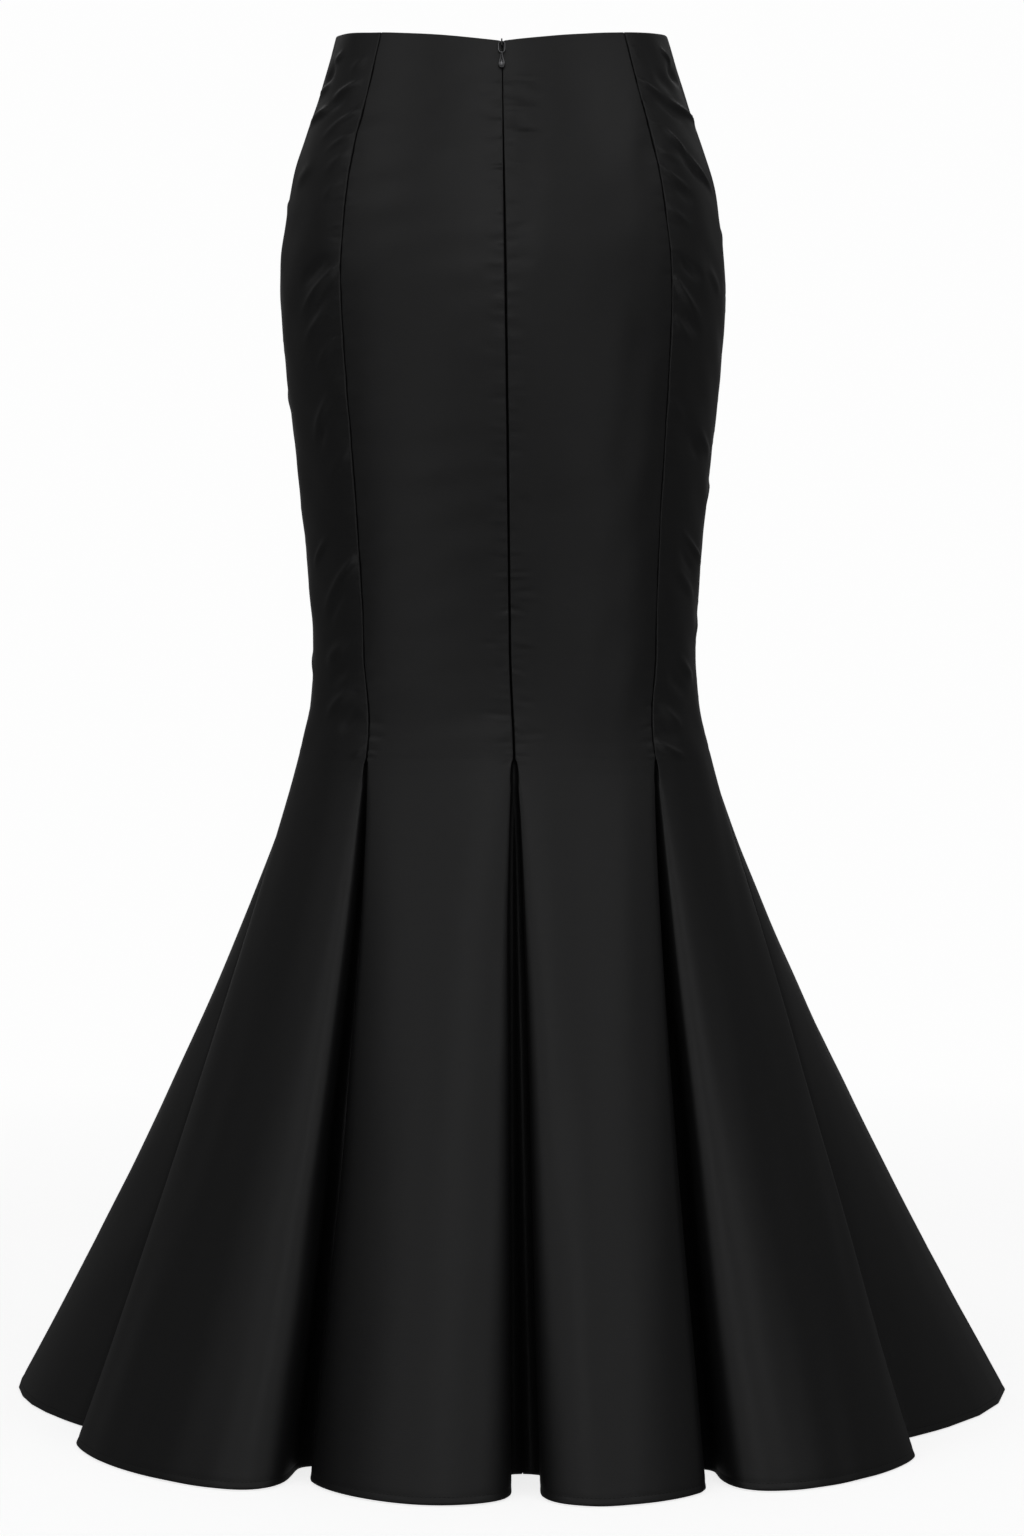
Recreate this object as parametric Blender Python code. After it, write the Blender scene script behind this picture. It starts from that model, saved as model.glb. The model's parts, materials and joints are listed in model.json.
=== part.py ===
# Mermaid fishtail skirt, worn and filled out: one hollow cloth wall in seven gores, with a
# centre-back invisible zip and an inverted pleat in every seam below the knee.
# Metres, +Z up. The origin is the middle of the waist opening, level with the waist edge at the
# sides. The wearer's back, with the zip, faces -Y, and the wearer's left is -X.
# Heights are counted up from the hem, and angles from the centre back, positive toward +X.

import bpy
import math
from mathutils import Matrix, Vector

# Driving dimensions.
LENGTH = 1.029           # side waist edge to hem
PLEAT_TOP = 0.479        # where the pleats open, above the hem
KNEE = 0.5625            # narrowest level
HIP = 0.829              # widest level above the flare
WAIST_DIP_BACK = 0.024   # drop of the waist edge from the sides to the centre back
WAIST_DIP_POWER = 1.15   # the back edge runs to the zip in a shallow V
WAIST_DIP_FRONT = 0.010
LEAN = 0.004             # how far the hem hangs to +X of the waist
CLOTH = 0.0013           # wall thickness, level
SEAM_GAP = 0.0003        # between two gores at a seam

# How the flare opens between the pleat tops and the hem, both 0 to 1.
FLARE_START = 0.61       # slope of the flare where it leaves the body
FLARE_POWER = 1.5
DEPTH_POWER = 0.6        # the pleats reach their depth early
FOLD_REACH = 4           # how fast an early mouth dies away along the gore

# The closed body, from the waist down to the pleat tops.
BODY_COLUMNS = ("height", "half_width", "back_depth", "front_depth")
BODY = (
    (1.029, 0.1258, 0.0920, 0.0880),
    (0.980, 0.1406, 0.1015, 0.0955),
    (0.920, 0.1595, 0.1170, 0.1045),
    (0.870, 0.1676, 0.1270, 0.1095),
    (0.829, 0.1697, 0.1315, 0.1110),
    (0.770, 0.1649, 0.1320, 0.1085),
    (0.700, 0.1570, 0.1250, 0.1050),
    (0.620, 0.1493, 0.1130, 0.1020),
    (0.5625, 0.1457, 0.1075, 0.1010),
    (0.520, 0.1480, 0.1078, 0.1035),
    (0.479, 0.1575, 0.1165, 0.1145),
)

# Seams as angles at the waist, the knee and the pleat tops, and the bottom of the pleat that
# each opens into: its angle and radius at the hem, the half width of its underlay, how much
# sooner than the hem its mouth opens, and how far its folds bow out between top and hem.
SEAM_COLUMNS = (
    "name", "waist", "knee", "top", "bottom_angle", "bottom_radius", "underlay", "early", "bow",
)
SEAMS = (
    ("side_left", -93.0, -93.0, -92.5, -61.3, 0.289, 0.040, 0.003, 0.033),
    ("back_princess_left", -43.8, -45.5, -40.2, -24.3, 0.296, 0.036, 0.010, 0.0),
    ("centre_back", 0.0, 1.7, 2.6, 2.1, 0.292, 0.034, 0.012, 0.0),
    ("back_princess_right", 44.5, 50.7, 45.0, 23.1, 0.302, 0.036, 0.009, 0.0),
    ("side_right", 93.0, 93.0, 92.5, 54.0, 0.296, 0.040, 0.001, 0.060),
    ("front_princess_right", 135.0, 135.0, 137.0, 128.5, 0.288, 0.040, 0.010, 0.0),
    ("front_princess_left", 225.0, 225.0, 223.0, 231.5, 0.288, 0.040, 0.010, 0.0),
)

# Gores at the hem: their two fold edges and the crest between them, as angles and radii, the way
# the cloth rolls over at each fold, the share of the gore at which the crest leaves the body, and
# a shallow ripple for the widest one.
GORE_COLUMNS = (
    "name", "left_seam", "right_seam", "left_angle", "left_radius", "left_fold", "crest_angle",
    "crest_radius", "right_angle", "right_radius", "right_fold", "crest_share", "ripple", "steps",
)
GORES = (
    ("side_front_left", "front_princess_left", "side_left", -127.0, 0.350, "round", -97.0, 0.378,
     -64.0, 0.334, "dished", 0.86, 0.0, 6),
    ("side_back_left", "side_left", "back_princess_left", -58.6, 0.357, "soft", -32.0, 0.385,
     -24.7, 0.354, "crisp", 0.785, 0.0, 6),
    ("centre_back_left", "back_princess_left", "centre_back", -23.6, 0.333, "soft", -7.5, 0.384,
     0.8, 0.353, "round", 0.66, 0.0, 5),
    ("centre_back_right", "centre_back", "back_princess_right", 3.4, 0.357, "round", 10.0, 0.389,
     21.8, 0.362, "soft", 0.37, 0.0, 5),
    ("side_back_right", "back_princess_right", "side_right", 24.2, 0.354, "crisp", 32.5, 0.389,
     51.2, 0.365, "soft", 0.33, 0.0, 6),
    ("side_front_right", "side_right", "front_princess_right", 56.5, 0.334, "dished", 92.5, 0.381,
     126.0, 0.350, "round", 0.10, 0.0, 6),
    ("centre_front", "front_princess_right", "front_princess_left", 131.0, 0.350, "round", 180.0,
     0.374, 229.0, 0.350, "round", 0.50, 0.006, 8),
)

# Exponents of the curve between a crest and a fold: the first rounds the crest, the second the
# fold, and 1 there would be a plain corner.
FOLDS = {"soft": (1.8, 1.15), "round": (2.0, 1.8), "crisp": (2.6, 2.5), "dished": (1.6, 0.75)}
RIPPLES = 3

# Rings of points: shares of the flare from its top to the hem, and heights on the body.
FLARE_ROWS = (1.0, 0.88, 0.75, 0.62, 0.50, 0.38, 0.27, 0.17, 0.09, 0.03)
BODY_ROWS = (0.479, 0.520, 0.5625, 0.620, 0.690, 0.755, 0.800, 0.829)
WAIST_ROWS = (0.25, 0.50, 0.75, 1.0)   # shares of the way from the hips to the waist edge
FLANK_STEPS = 5

# Centre-back zip.
ZIP_BOTTOM = 0.829       # height of its lowest tooth
ZIP_GAP = 0.0016         # between the two centre-back edges along the zip
TAPE_THICK = 0.0010
TAPE_WIDTH = 0.012
TAPE_STEPS = 3
# Tape rows just under the waist edge: how far below it, and how far from the middle of the zip.
# Above the second row the tapes stand clear of the slider's blade.
TAPE_TOP = ((0.0056, 0.00015), (0.0044, 0.00080), (0.0024, 0.00080))
SEAT = 0.0003            # clearance between pieces that touch

# Slider: a plate behind the tapes, and a thin blade that comes out through the gap and carries a
# window for the pull's ring.
PLATE_WIDTH = 0.0078
PLATE_HEIGHT = 0.0095
PLATE_THICK = 0.0018
PLATE_ABOVE = 0.0012     # the plate's top above the hinge line
BLADE_THICK = 0.0009
WINDOW_HALF = 0.00085    # from the hinge line to the window's sides
FRAME_THICK = 0.0008     # of the blade around its window
HINGE_DROP = 0.0016      # hinge line below the waist edge
HINGE_OUT = 0.00155      # hinge line off the cloth's face

# Pull: a wire eye, a neck and a drop.
WIRE_RADIUS = 0.0005
EYE_HALF_WIDTH = 0.0023
EYE_HEIGHT = 0.0085
EYE_STEPS = 10           # on each half circle of the eye
WIRE_SIDES = 8
DROP_COLUMNS = ("below_eye", "half_width", "half_thickness")
DROP = (
    (-0.0006, 0.00050, 0.00042),
    (0.0010, 0.00072, 0.00050),
    (0.0035, 0.00120, 0.00062),
    (0.0062, 0.00215, 0.00080),
    (0.0085, 0.00262, 0.00090),
    (0.0104, 0.00240, 0.00085),
    (0.0117, 0.00160, 0.00062),
    (0.0123, 0.00065, 0.00030),
)
DROP_SIDES = 12

COLORS = dict(cloth=(0.012, 0.012, 0.013), tape=(0.010, 0.010, 0.011), metal=(0.020, 0.020, 0.022))


def table(columns, rows):
    return [dict(zip(columns, row)) for row in rows]


SEAM = {row["name"]: row for row in table(SEAM_COLUMNS, SEAMS)}
GORE = {row["name"]: row for row in table(GORE_COLUMNS, GORES)}


# ---- Plan of the cloth at a height ----

def smooth_step(share):
    share = min(max(share, 0.0), 1.0)
    return share * share * (3.0 - 2.0 * share)


def body_size(height):
    # A cubic through the body's sections, with the slope at each from its two neighbours.
    rows = BODY
    height = min(max(height, rows[-1][0]), rows[0][0])
    low = next(i for i in range(1, len(rows)) if height >= rows[i][0] - 1e-9)

    def slope(index, column):
        above = rows[max(index - 1, 0)]
        below = rows[min(index + 1, len(rows) - 1)]
        return (above[column] - below[column]) / (above[0] - below[0])

    bottom, top = rows[low], rows[low - 1]
    span = top[0] - bottom[0]
    share = (height - bottom[0]) / span
    rise = share * share * (3.0 - 2.0 * share)
    start = share * (1.0 - share) ** 2 * span
    finish = share * share * (share - 1.0) * span
    return [
        bottom[c] + (top[c] - bottom[c]) * rise + slope(low, c) * start + slope(low - 1, c) * finish
        for c in (1, 2, 3)
    ]


def flare_share(height):
    down = max(0.0, 1.0 - height / PLEAT_TOP)
    return FLARE_START * down + (1.0 - FLARE_START) * down ** FLARE_POWER


def lean(height):
    return LEAN * (1.0 - height / LENGTH)


def seam_angle(seam, height):
    row = SEAM[seam]
    if height >= KNEE:
        share = (LENGTH - height) / (LENGTH - KNEE)
        return row["waist"] + (row["knee"] - row["waist"]) * share
    return row["knee"] + (row["top"] - row["knee"]) * smooth_step((KNEE - height) / (KNEE - PLEAT_TOP))


def around(angle, radius_x, radius_y):
    turn = math.radians(angle)
    return Vector((radius_x * math.sin(turn), -radius_y * math.cos(turn)))


def body_point(angle, height):
    half_width, back, front = body_size(height)
    depth = back if math.cos(math.radians(angle)) > 0.0 else front
    return around(angle, half_width, depth)


def waist_edge(angle):
    side = math.cos(math.radians(angle))
    if side < 0.0:
        return LENGTH - WAIST_DIP_FRONT * side * side
    turned = math.degrees(math.acos(min(side, 1.0)))
    return LENGTH - WAIST_DIP_BACK * (1.0 - turned / 90.0) ** WAIST_DIP_POWER


def lobe_columns(gore):
    # From the left fold (1) to the crest (0) and on to the right fold, closer near the folds.
    steps = gore["steps"]
    half = [math.cos(math.pi / 2 * i / steps) for i in range(steps + 1)]
    return [("left", out) for out in half] + [("right", out) for out in reversed(half[:-1])]


def side_share(gore, side, out):
    # Where a column leaves the body, as a share of the gore's width.
    edge = 0.0 if side == "left" else 1.0
    return gore["crest_share"] + (edge - gore["crest_share"]) * out


def lobe_angle(gore, side, out, height):
    left = seam_angle(gore["left_seam"], height)
    right = seam_angle(gore["right_seam"], height)
    if left > right:
        left -= 360.0
    return left + (right - left) * side_share(gore, side, out)


def hem_point(gore, side, out):
    crest_power, fold_power = FOLDS[gore[side + "_fold"]]
    rise = max(0.0, 1.0 - out ** crest_power) ** (1.0 / fold_power)
    angle = gore["crest_angle"] + (gore[side + "_angle"] - gore["crest_angle"]) * out
    radius = gore[side + "_radius"] + (gore["crest_radius"] - gore[side + "_radius"]) * rise
    radius += gore["ripple"] * math.sin(math.pi * out) * math.cos(math.pi * RIPPLES * out)
    return around(angle, radius, radius)


def lobe_point(gore, side, out, height):
    if height >= PLEAT_TOP:
        return body_point(lobe_angle(gore, side, out, height), height)
    opened = flare_share(height)
    down = 1.0 - height / PLEAT_TOP
    top = body_point(lobe_angle(gore, side, out, PLEAT_TOP), PLEAT_TOP)
    point = top.lerp(hem_point(gore, side, out), opened)
    seam = gore[side + "_seam"]
    early = SEAM[seam]["early"] * (math.sqrt(down) - down) * out ** FOLD_REACH
    bow = SEAM[seam]["bow"] * opened * (1.0 - opened) ** 1.5 * out * out
    point = point - inward(seam, opened) * bow
    return point + along(seam, opened) * (early if side == "left" else -early)


# ---- Pleats ----

def inward(seam, opened):
    # The way a pleat goes in from its mouth: square to the body at its top, to the hem lower down.
    row = SEAM[seam]
    angle = row["top"] + (row["bottom_angle"] - row["top"]) * smooth_step(opened * 2.0)
    return -around(angle, 1.0, 1.0)


def along(seam, opened):
    # Across the mouth, toward the gore on its right.
    way = inward(seam, opened)
    return Vector((-way.y, way.x)) * -1.0


def pleat_bottom(seam, height):
    row = SEAM[seam]
    opened = flare_share(height)
    down = 1.0 - height / PLEAT_TOP
    top = body_point(row["top"], PLEAT_TOP)
    hem = around(row["bottom_angle"], row["bottom_radius"], row["bottom_radius"])
    mouth_hem = around(row["bottom_angle"], mouth_radius(seam), mouth_radius(seam))
    depth = (mouth_hem - hem).length
    return top.lerp(hem, opened) + inward(seam, opened) * depth * (down ** DEPTH_POWER - opened)


def mouth_radius(seam):
    radii = [g["right_radius"] for g in GORE.values() if g["right_seam"] == seam]
    radii += [g["left_radius"] for g in GORE.values() if g["left_seam"] == seam]
    return sum(radii) / len(radii)


def flank(gore, side, height, steps):
    # From the fold in to the pleat's bottom: a curve that starts straight in and ends level.
    seam = gore[side + "_seam"]
    opened = flare_share(height)
    fold = lobe_point(gore, side, 1.0, height)
    bottom = pleat_bottom(seam, height)
    way = inward(seam, opened)
    across = along(seam, opened) * (1.0 if side == "left" else -1.0)
    depth = max((bottom - fold).dot(way), 0.0)
    grown = (1.0 - height / PLEAT_TOP) ** DEPTH_POWER
    first = fold + way * depth * 0.6
    last = bottom + across * SEAM[seam]["underlay"] * grown
    points = []
    for i in range(1, steps + 1):
        t = i / steps
        points.append(fold * (1 - t) ** 3 + first * 3 * t * (1 - t) ** 2
                      + last * 3 * t * t * (1 - t) + bottom * t ** 3)
    points[-1] = bottom + across * SEAM_GAP / 2
    return points, -way


# ---- One gore's ring ----

def seam_gap(seam, height):
    return ZIP_GAP if seam == "centre_back" and height >= ZIP_BOTTOM - 1e-6 else SEAM_GAP


def edge_normal(gore, side, height):
    angle = lobe_angle(gore, side, 1.0, height)
    step = 0.5
    tangent = body_point(angle + step, height) - body_point(angle - step, height)
    return Vector((tangent.y, -tangent.x)).normalized()


def row_heights(gore, row):
    # One height for each lobe column: level rows up to the hips, then spread to the waist edge.
    columns = lobe_columns(gore)
    if row[0] == "level":
        return [row[1]] * len(columns)
    return [HIP + (waist_edge(lobe_angle(gore, s, o, LENGTH)) - HIP) * row[1] for s, o in columns]


def rows_of_skirt():
    rows = [("level", PLEAT_TOP * (1.0 - share)) for share in FLARE_ROWS]
    rows += [("level", height) for height in BODY_ROWS]
    return rows + [("waist", share) for share in WAIST_ROWS]


def gore_ring(gore, row):
    # Face points, their heights and their outward directions, from the left seam to the right.
    heights = row_heights(gore, row)
    columns = lobe_columns(gore)
    points = [lobe_point(gore, s, o, h) for (s, o), h in zip(columns, heights)]
    if row[0] == "level" and row[1] < PLEAT_TOP - 1e-6:
        height = row[1]
        left, left_normal = flank(gore, "left", height, FLANK_STEPS)
        right, right_normal = flank(gore, "right", height, FLANK_STEPS)
        points = left[::-1] + points + right
        heights = [height] * len(points)
    else:
        left_normal = edge_normal(gore, "left", heights[0])
        right_normal = edge_normal(gore, "right", heights[-1])
        half_left = seam_gap(gore["left_seam"], heights[0]) / 2
        half_right = seam_gap(gore["right_seam"], heights[-1]) / 2
        points[0] = points[0] + Vector((-left_normal.y, left_normal.x)) * half_left
        points[-1] = points[-1] - Vector((-right_normal.y, right_normal.x)) * half_right
    normals = ring_normals(points, left_normal, right_normal)
    return points, heights, normals


def ring_normals(points, first, last):
    # Outward directions, longer at corners so that the wall keeps its thickness.
    normals = [first]
    for before, here, after in zip(points, points[1:], points[2:]):
        a = (here - before).normalized()
        b = (after - here).normalized()
        way = Vector((a.y + b.y, -a.x - b.x)).normalized()
        normals.append(way / max(way.dot(Vector((a.y, -a.x))), 0.6))
    normals.append(last)
    return normals


# ---- Solids ----

def place(point, height):
    return Vector((point.x + lean(height), point.y, height - LENGTH))


def wall_between(rings, name, material):
    # A closed wall from rows of (outer points, inner points). A row that has fewer points than
    # its neighbour repeats its end points, and the faces that collapse there are left out.
    count = max(len(outer) for outer, inner in rings)
    verts, rows = [], []
    for outer, inner in rings:
        extra = (count - len(outer)) // 2
        row = []
        for side in (outer, inner):
            first = len(verts)
            verts.extend(side)
            own = list(range(first, first + len(side)))
            row.append([own[0]] * extra + own + [own[-1]] * extra)
        rows.append(row)
    faces = []

    def add(*corners):
        ring = [c for i, c in enumerate(corners) if c != corners[i - 1]]
        if len(ring) == 4:
            faces.append((ring[0], ring[1], ring[2]))
            faces.append((ring[0], ring[2], ring[3]))
        elif len(ring) == 3:
            faces.append(tuple(ring))

    for (low_out, low_in), (high_out, high_in) in zip(rows, rows[1:]):
        for i in range(count - 1):
            add(low_out[i], low_out[i + 1], high_out[i + 1], high_out[i])
            add(high_in[i], high_in[i + 1], low_in[i + 1], low_in[i])
        add(low_in[0], low_out[0], high_out[0], high_in[0])
        add(high_in[-1], high_out[-1], low_out[-1], low_in[-1])
    for i in range(count - 1):
        add(rows[0][1][i], rows[0][1][i + 1], rows[0][0][i + 1], rows[0][0][i])
        add(rows[-1][0][i], rows[-1][0][i + 1], rows[-1][1][i + 1], rows[-1][1][i])
    return add_object(name, verts, faces, material)


def add_object(name, verts, faces, material):
    mesh = bpy.data.meshes.new(name)
    mesh.from_pydata([tuple(v) for v in verts], [], faces)
    mesh.update()
    mesh.shade_smooth()
    mesh.set_sharp_from_angle(angle=math.radians(40))
    mesh.materials.append(material)
    thing = bpy.data.objects.new(name, mesh)
    bpy.context.scene.collection.objects.link(thing)
    return thing


def add_material(name, color, roughness, metallic):
    material = bpy.data.materials.new(name)
    material.use_nodes = True
    shader = material.node_tree.nodes["Principled BSDF"]
    shader.inputs["Base Color"].default_value = (*color, 1.0)
    shader.inputs["Roughness"].default_value = roughness
    shader.inputs["Metallic"].default_value = metallic
    return material


def make_gore(gore, material):
    rings = []
    for row in rows_of_skirt():
        points, heights, normals = gore_ring(gore, row)
        outer = [place(p, h) for p, h in zip(points, heights)]
        inner = [place(p - n * CLOTH, h) for p, n, h in zip(points, normals, heights)]
        rings.append((outer, inner))
    return wall_between(rings, gore["name"], material)


# ---- Zip ----

def step_along(points, values, distance):
    # The place a distance along a polyline, with the same mix of its values.
    for (a, b), (va, vb) in zip(zip(points, points[1:]), zip(values, values[1:])):
        length = (b - a).length
        if distance <= length:
            share = distance / length
            return [a.lerp(b, share)] + [x + (y - x) * share for x, y in zip(va, vb)]
        distance -= length
    raise ValueError("the polyline is shorter than the distance")


def tape_line(gore, side, row, start):
    # One row of the band behind a centre-back edge: pairs of a face point and one behind it.
    points, heights, normals = gore_ring(gore, row)
    if side == "right":
        points, heights, normals = points[::-1], heights[::-1], normals[::-1]
    values = list(zip(heights, normals))
    # The band may start nearer the middle than the cloth does, so it is measured from the middle.
    edge = seam_gap("centre_back", heights[0]) / 2
    points = [points[0] - (points[1] - points[0]).normalized() * edge] + points[1:]
    line = []
    for i in range(TAPE_STEPS + 1):
        distance = start + (TAPE_WIDTH - start) * i / TAPE_STEPS
        point, height, normal = step_along(points, values, distance)
        near = CLOTH + SEAT
        line.append((place(point - normal * near, height),
                     place(point - normal * (near + TAPE_THICK), height)))
    return line


def make_tape(name, gore, side, material):
    # Made from the gore's own points, moved in.
    low_rows = [("level", height) for height in BODY_ROWS[-2:]]
    low_rows += [("waist", share) for share in WAIST_ROWS[:-1]]
    lines = [tape_line(gore, side, row, SEAM_GAP / 2) for row in low_rows]
    for drop, start in TAPE_TOP:
        below = tape_line(gore, side, ("waist", WAIST_ROWS[-2]), start)
        top = tape_line(gore, side, ("waist", WAIST_ROWS[-1]), start)
        share = drop / (top[0][0] - below[0][0]).length
        lines.append([(a.lerp(c, share), b.lerp(d, share)) for (a, b), (c, d) in zip(top, below)])
    rings = []
    for line in lines:
        ordered = line if side == "left" else line[::-1]
        rings.append(([outer for outer, inner in ordered], [inner for outer, inner in ordered]))
    return wall_between(rings, name, material)


def zip_frame():
    # At the hinge line: X across, Y in from the cloth's face, Z up along the centre back.
    angle = SEAM["centre_back"]["waist"]
    edge = waist_edge(angle)
    top = place(body_point(angle, edge), edge)
    low_height = HIP + (edge - HIP) * WAIST_ROWS[-2]
    low = place(body_point(seam_angle("centre_back", low_height), low_height), low_height)
    up = Vector((0.0, top.y - low.y, top.z - low.z)).normalized()
    inside = Vector((1.0, 0.0, 0.0)).cross(up) * -1.0
    hinge = top - up * HINGE_DROP - inside * HINGE_OUT
    frame = Matrix((Vector((1.0, 0.0, 0.0)), inside, up)).transposed().to_4x4()
    frame.translation = hinge
    return frame


def box_mesh(low, high):
    corners = [(x, y, z) for x in (low[0], high[0]) for y in (low[1], high[1]) for z in (low[2], high[2])]
    faces = [(0, 1, 3, 2), (4, 6, 7, 5), (0, 4, 5, 1), (2, 3, 7, 6), (0, 2, 6, 4), (1, 5, 7, 3)]
    return corners, faces


def make_slider(material):
    frame = zip_frame()
    plate_face = HINGE_OUT + CLOTH + SEAT + TAPE_THICK + SEAT
    plate_low = (-PLATE_WIDTH / 2, plate_face, PLATE_ABOVE - PLATE_HEIGHT)
    plate_high = (PLATE_WIDTH / 2, plate_face + PLATE_THICK, PLATE_ABOVE)
    verts, faces = box_mesh(plate_low, plate_high)
    slider = add_object("zip_slider", verts, faces, material)
    frame_edge = WINDOW_HALF + FRAME_THICK
    blade = box_mesh((-BLADE_THICK / 2, -frame_edge, -frame_edge),
                     (BLADE_THICK / 2, plate_face + PLATE_THICK / 2, frame_edge))
    window = box_mesh((-BLADE_THICK, -WINDOW_HALF, -WINDOW_HALF), (BLADE_THICK, WINDOW_HALF, WINDOW_HALF))
    join(slider, add_object("blade", *blade, material), "UNION")
    join(slider, add_object("window", *window, material), "DIFFERENCE")
    slider.matrix_world = frame
    return slider


def join(thing, other, operation):
    other.hide_render = True
    other.display_type = "WIRE"
    other.parent = thing
    change = thing.modifiers.new(operation.lower() + "_" + other.name, "BOOLEAN")
    change.object = other
    change.operation = operation


def tube(path, sides, radius):
    # A closed wire through a ring of points in the XZ plane.
    verts, faces = [], []
    count = len(path)
    for i, point in enumerate(path):
        ahead = (path[(i + 1) % count] - path[i - 1]).normalized()
        outward = Vector((ahead.z, 0.0, -ahead.x))
        for k in range(sides):
            turn = 2 * math.pi * k / sides
            verts.append(point + (outward * math.cos(turn) + Vector((0, 1, 0)) * math.sin(turn)) * radius)
    for i in range(count):
        for k in range(sides):
            a, b = i * sides + k, i * sides + (k + 1) % sides
            c, d = (i + 1) % count * sides + (k + 1) % sides, (i + 1) % count * sides + k
            faces.append((a, b, c, d))
    return verts, faces


def make_pull(material):
    # The eye hangs on the hinge line, which is the middle of the wire at its top.
    middle = EYE_HEIGHT - 2 * EYE_HALF_WIDTH
    path = []
    for centre, start in ((-EYE_HALF_WIDTH, 0.0), (-EYE_HALF_WIDTH - middle, math.pi)):
        for i in range(EYE_STEPS + 1):
            turn = start + math.pi * i / EYE_STEPS
            path.append(Vector((EYE_HALF_WIDTH * math.cos(turn), 0.0, centre + EYE_HALF_WIDTH * math.sin(turn))))
    verts, faces = tube(path, WIRE_SIDES, WIRE_RADIUS)
    pull = add_object("zip_pull", verts, faces, material)
    drop_verts, drop_faces = [], []
    for below, half_width, half_thickness in DROP:
        for k in range(DROP_SIDES):
            turn = 2 * math.pi * k / DROP_SIDES
            drop_verts.append((half_width * math.cos(turn), half_thickness * math.sin(turn), -EYE_HEIGHT - below))
    for i in range(len(DROP) - 1):
        for k in range(DROP_SIDES):
            a, b = i * DROP_SIDES + k, i * DROP_SIDES + (k + 1) % DROP_SIDES
            drop_faces.append((b, a, a + DROP_SIDES, b + DROP_SIDES))
    drop_faces.append(tuple(range(DROP_SIDES)))
    drop_faces.append(tuple(reversed(range(len(drop_verts) - DROP_SIDES, len(drop_verts)))))
    join(pull, add_object("drop", drop_verts, drop_faces, material), "UNION")
    pull.matrix_world = zip_frame()
    return pull


def main():
    for thing in list(bpy.data.objects):
        bpy.data.objects.remove(thing, do_unlink=True)
    for gore in GORE.values():
        make_gore(gore, add_material(gore["name"], COLORS["cloth"], 0.45, 0.0))
    for name, gore, side in (("zip_tape_left", "centre_back_left", "right"),
                             ("zip_tape_right", "centre_back_right", "left")):
        make_tape(name, GORE[gore], side, add_material(name, COLORS["tape"], 0.8, 0.0))
    make_slider(add_material("zip_slider", COLORS["metal"], 0.35, 0.0))
    make_pull(add_material("zip_pull", COLORS["metal"], 0.25, 0.0))


main()
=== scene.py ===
# Mermaid fishtail skirt in black satin-backed crepe: the looks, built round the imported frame.
import bmesh
import bpy
import json
import math
import numpy as np
from mathutils import Matrix, Vector

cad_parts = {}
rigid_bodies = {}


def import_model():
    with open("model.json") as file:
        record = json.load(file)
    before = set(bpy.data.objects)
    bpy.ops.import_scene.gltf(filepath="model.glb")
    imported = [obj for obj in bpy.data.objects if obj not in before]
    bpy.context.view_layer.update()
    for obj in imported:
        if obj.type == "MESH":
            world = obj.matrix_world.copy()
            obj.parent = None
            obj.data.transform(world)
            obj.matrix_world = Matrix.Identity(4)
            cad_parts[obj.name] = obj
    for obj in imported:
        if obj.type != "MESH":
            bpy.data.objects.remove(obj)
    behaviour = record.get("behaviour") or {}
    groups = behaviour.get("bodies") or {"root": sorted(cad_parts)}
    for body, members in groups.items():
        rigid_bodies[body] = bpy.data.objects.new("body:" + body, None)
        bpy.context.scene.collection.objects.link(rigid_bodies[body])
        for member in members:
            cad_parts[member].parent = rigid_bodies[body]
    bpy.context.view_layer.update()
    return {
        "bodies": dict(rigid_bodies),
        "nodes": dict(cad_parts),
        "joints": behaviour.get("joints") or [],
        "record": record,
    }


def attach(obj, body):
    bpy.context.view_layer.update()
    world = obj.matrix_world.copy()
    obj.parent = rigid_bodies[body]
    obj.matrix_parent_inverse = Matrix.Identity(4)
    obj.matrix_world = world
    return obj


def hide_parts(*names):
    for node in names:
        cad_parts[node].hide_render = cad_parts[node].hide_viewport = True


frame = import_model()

print("frame loaded")


# The cloth's form, in metres: heights count up from the hem, angles from the centre back.
form = dict(
    length=1.029,           # side waist edge to hem
    pleatTop=0.479,         # where the pleats open
    knee=0.5625,
    hip=0.829,
    dipBack=0.024,          # drop of the waist edge from the sides to the centre back
    dipPower=1.15,          # the back edge runs to the zip in a shallow V
    dipFront=0.010,
    lean=0.004,             # how far the hem hangs to +X of the waist
    seamLap=0.00025,        # of two gores where their pleat's flanks meet
    headLap=0.0035,         # more of it at a pleat's head
    headReach=0.032,        # and how far down that goes
    seamFin=0.06,           # how fast a pleat's flanks run on inward, side by side
    flareStart=0.61,
    flarePower=1.5,
    depthPower=0.6,
    turnSpeed=2.0,          # how soon a pleat turns to its way at the hem
    bowPower=1.5,
    flankRun=0.6,           # share of a pleat's depth that its flank runs straight in from the fold
    foldReach=4,
    ripples=3,
)

bodyRows = np.array([       # height, half width, back depth, front depth
    (0.479, 0.1575, 0.1165, 0.1145),
    (0.520, 0.1480, 0.1078, 0.1035),
    (0.5625, 0.1457, 0.1075, 0.1010),
    (0.620, 0.1493, 0.1130, 0.1020),
    (0.700, 0.1570, 0.1250, 0.1050),
    (0.770, 0.1649, 0.1320, 0.1085),
    (0.829, 0.1697, 0.1315, 0.1110),
    (0.870, 0.1676, 0.1270, 0.1095),
    (0.920, 0.1595, 0.1170, 0.1045),
    (0.980, 0.1406, 0.1015, 0.0955),
    (1.029, 0.1258, 0.0920, 0.0880),
])

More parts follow.
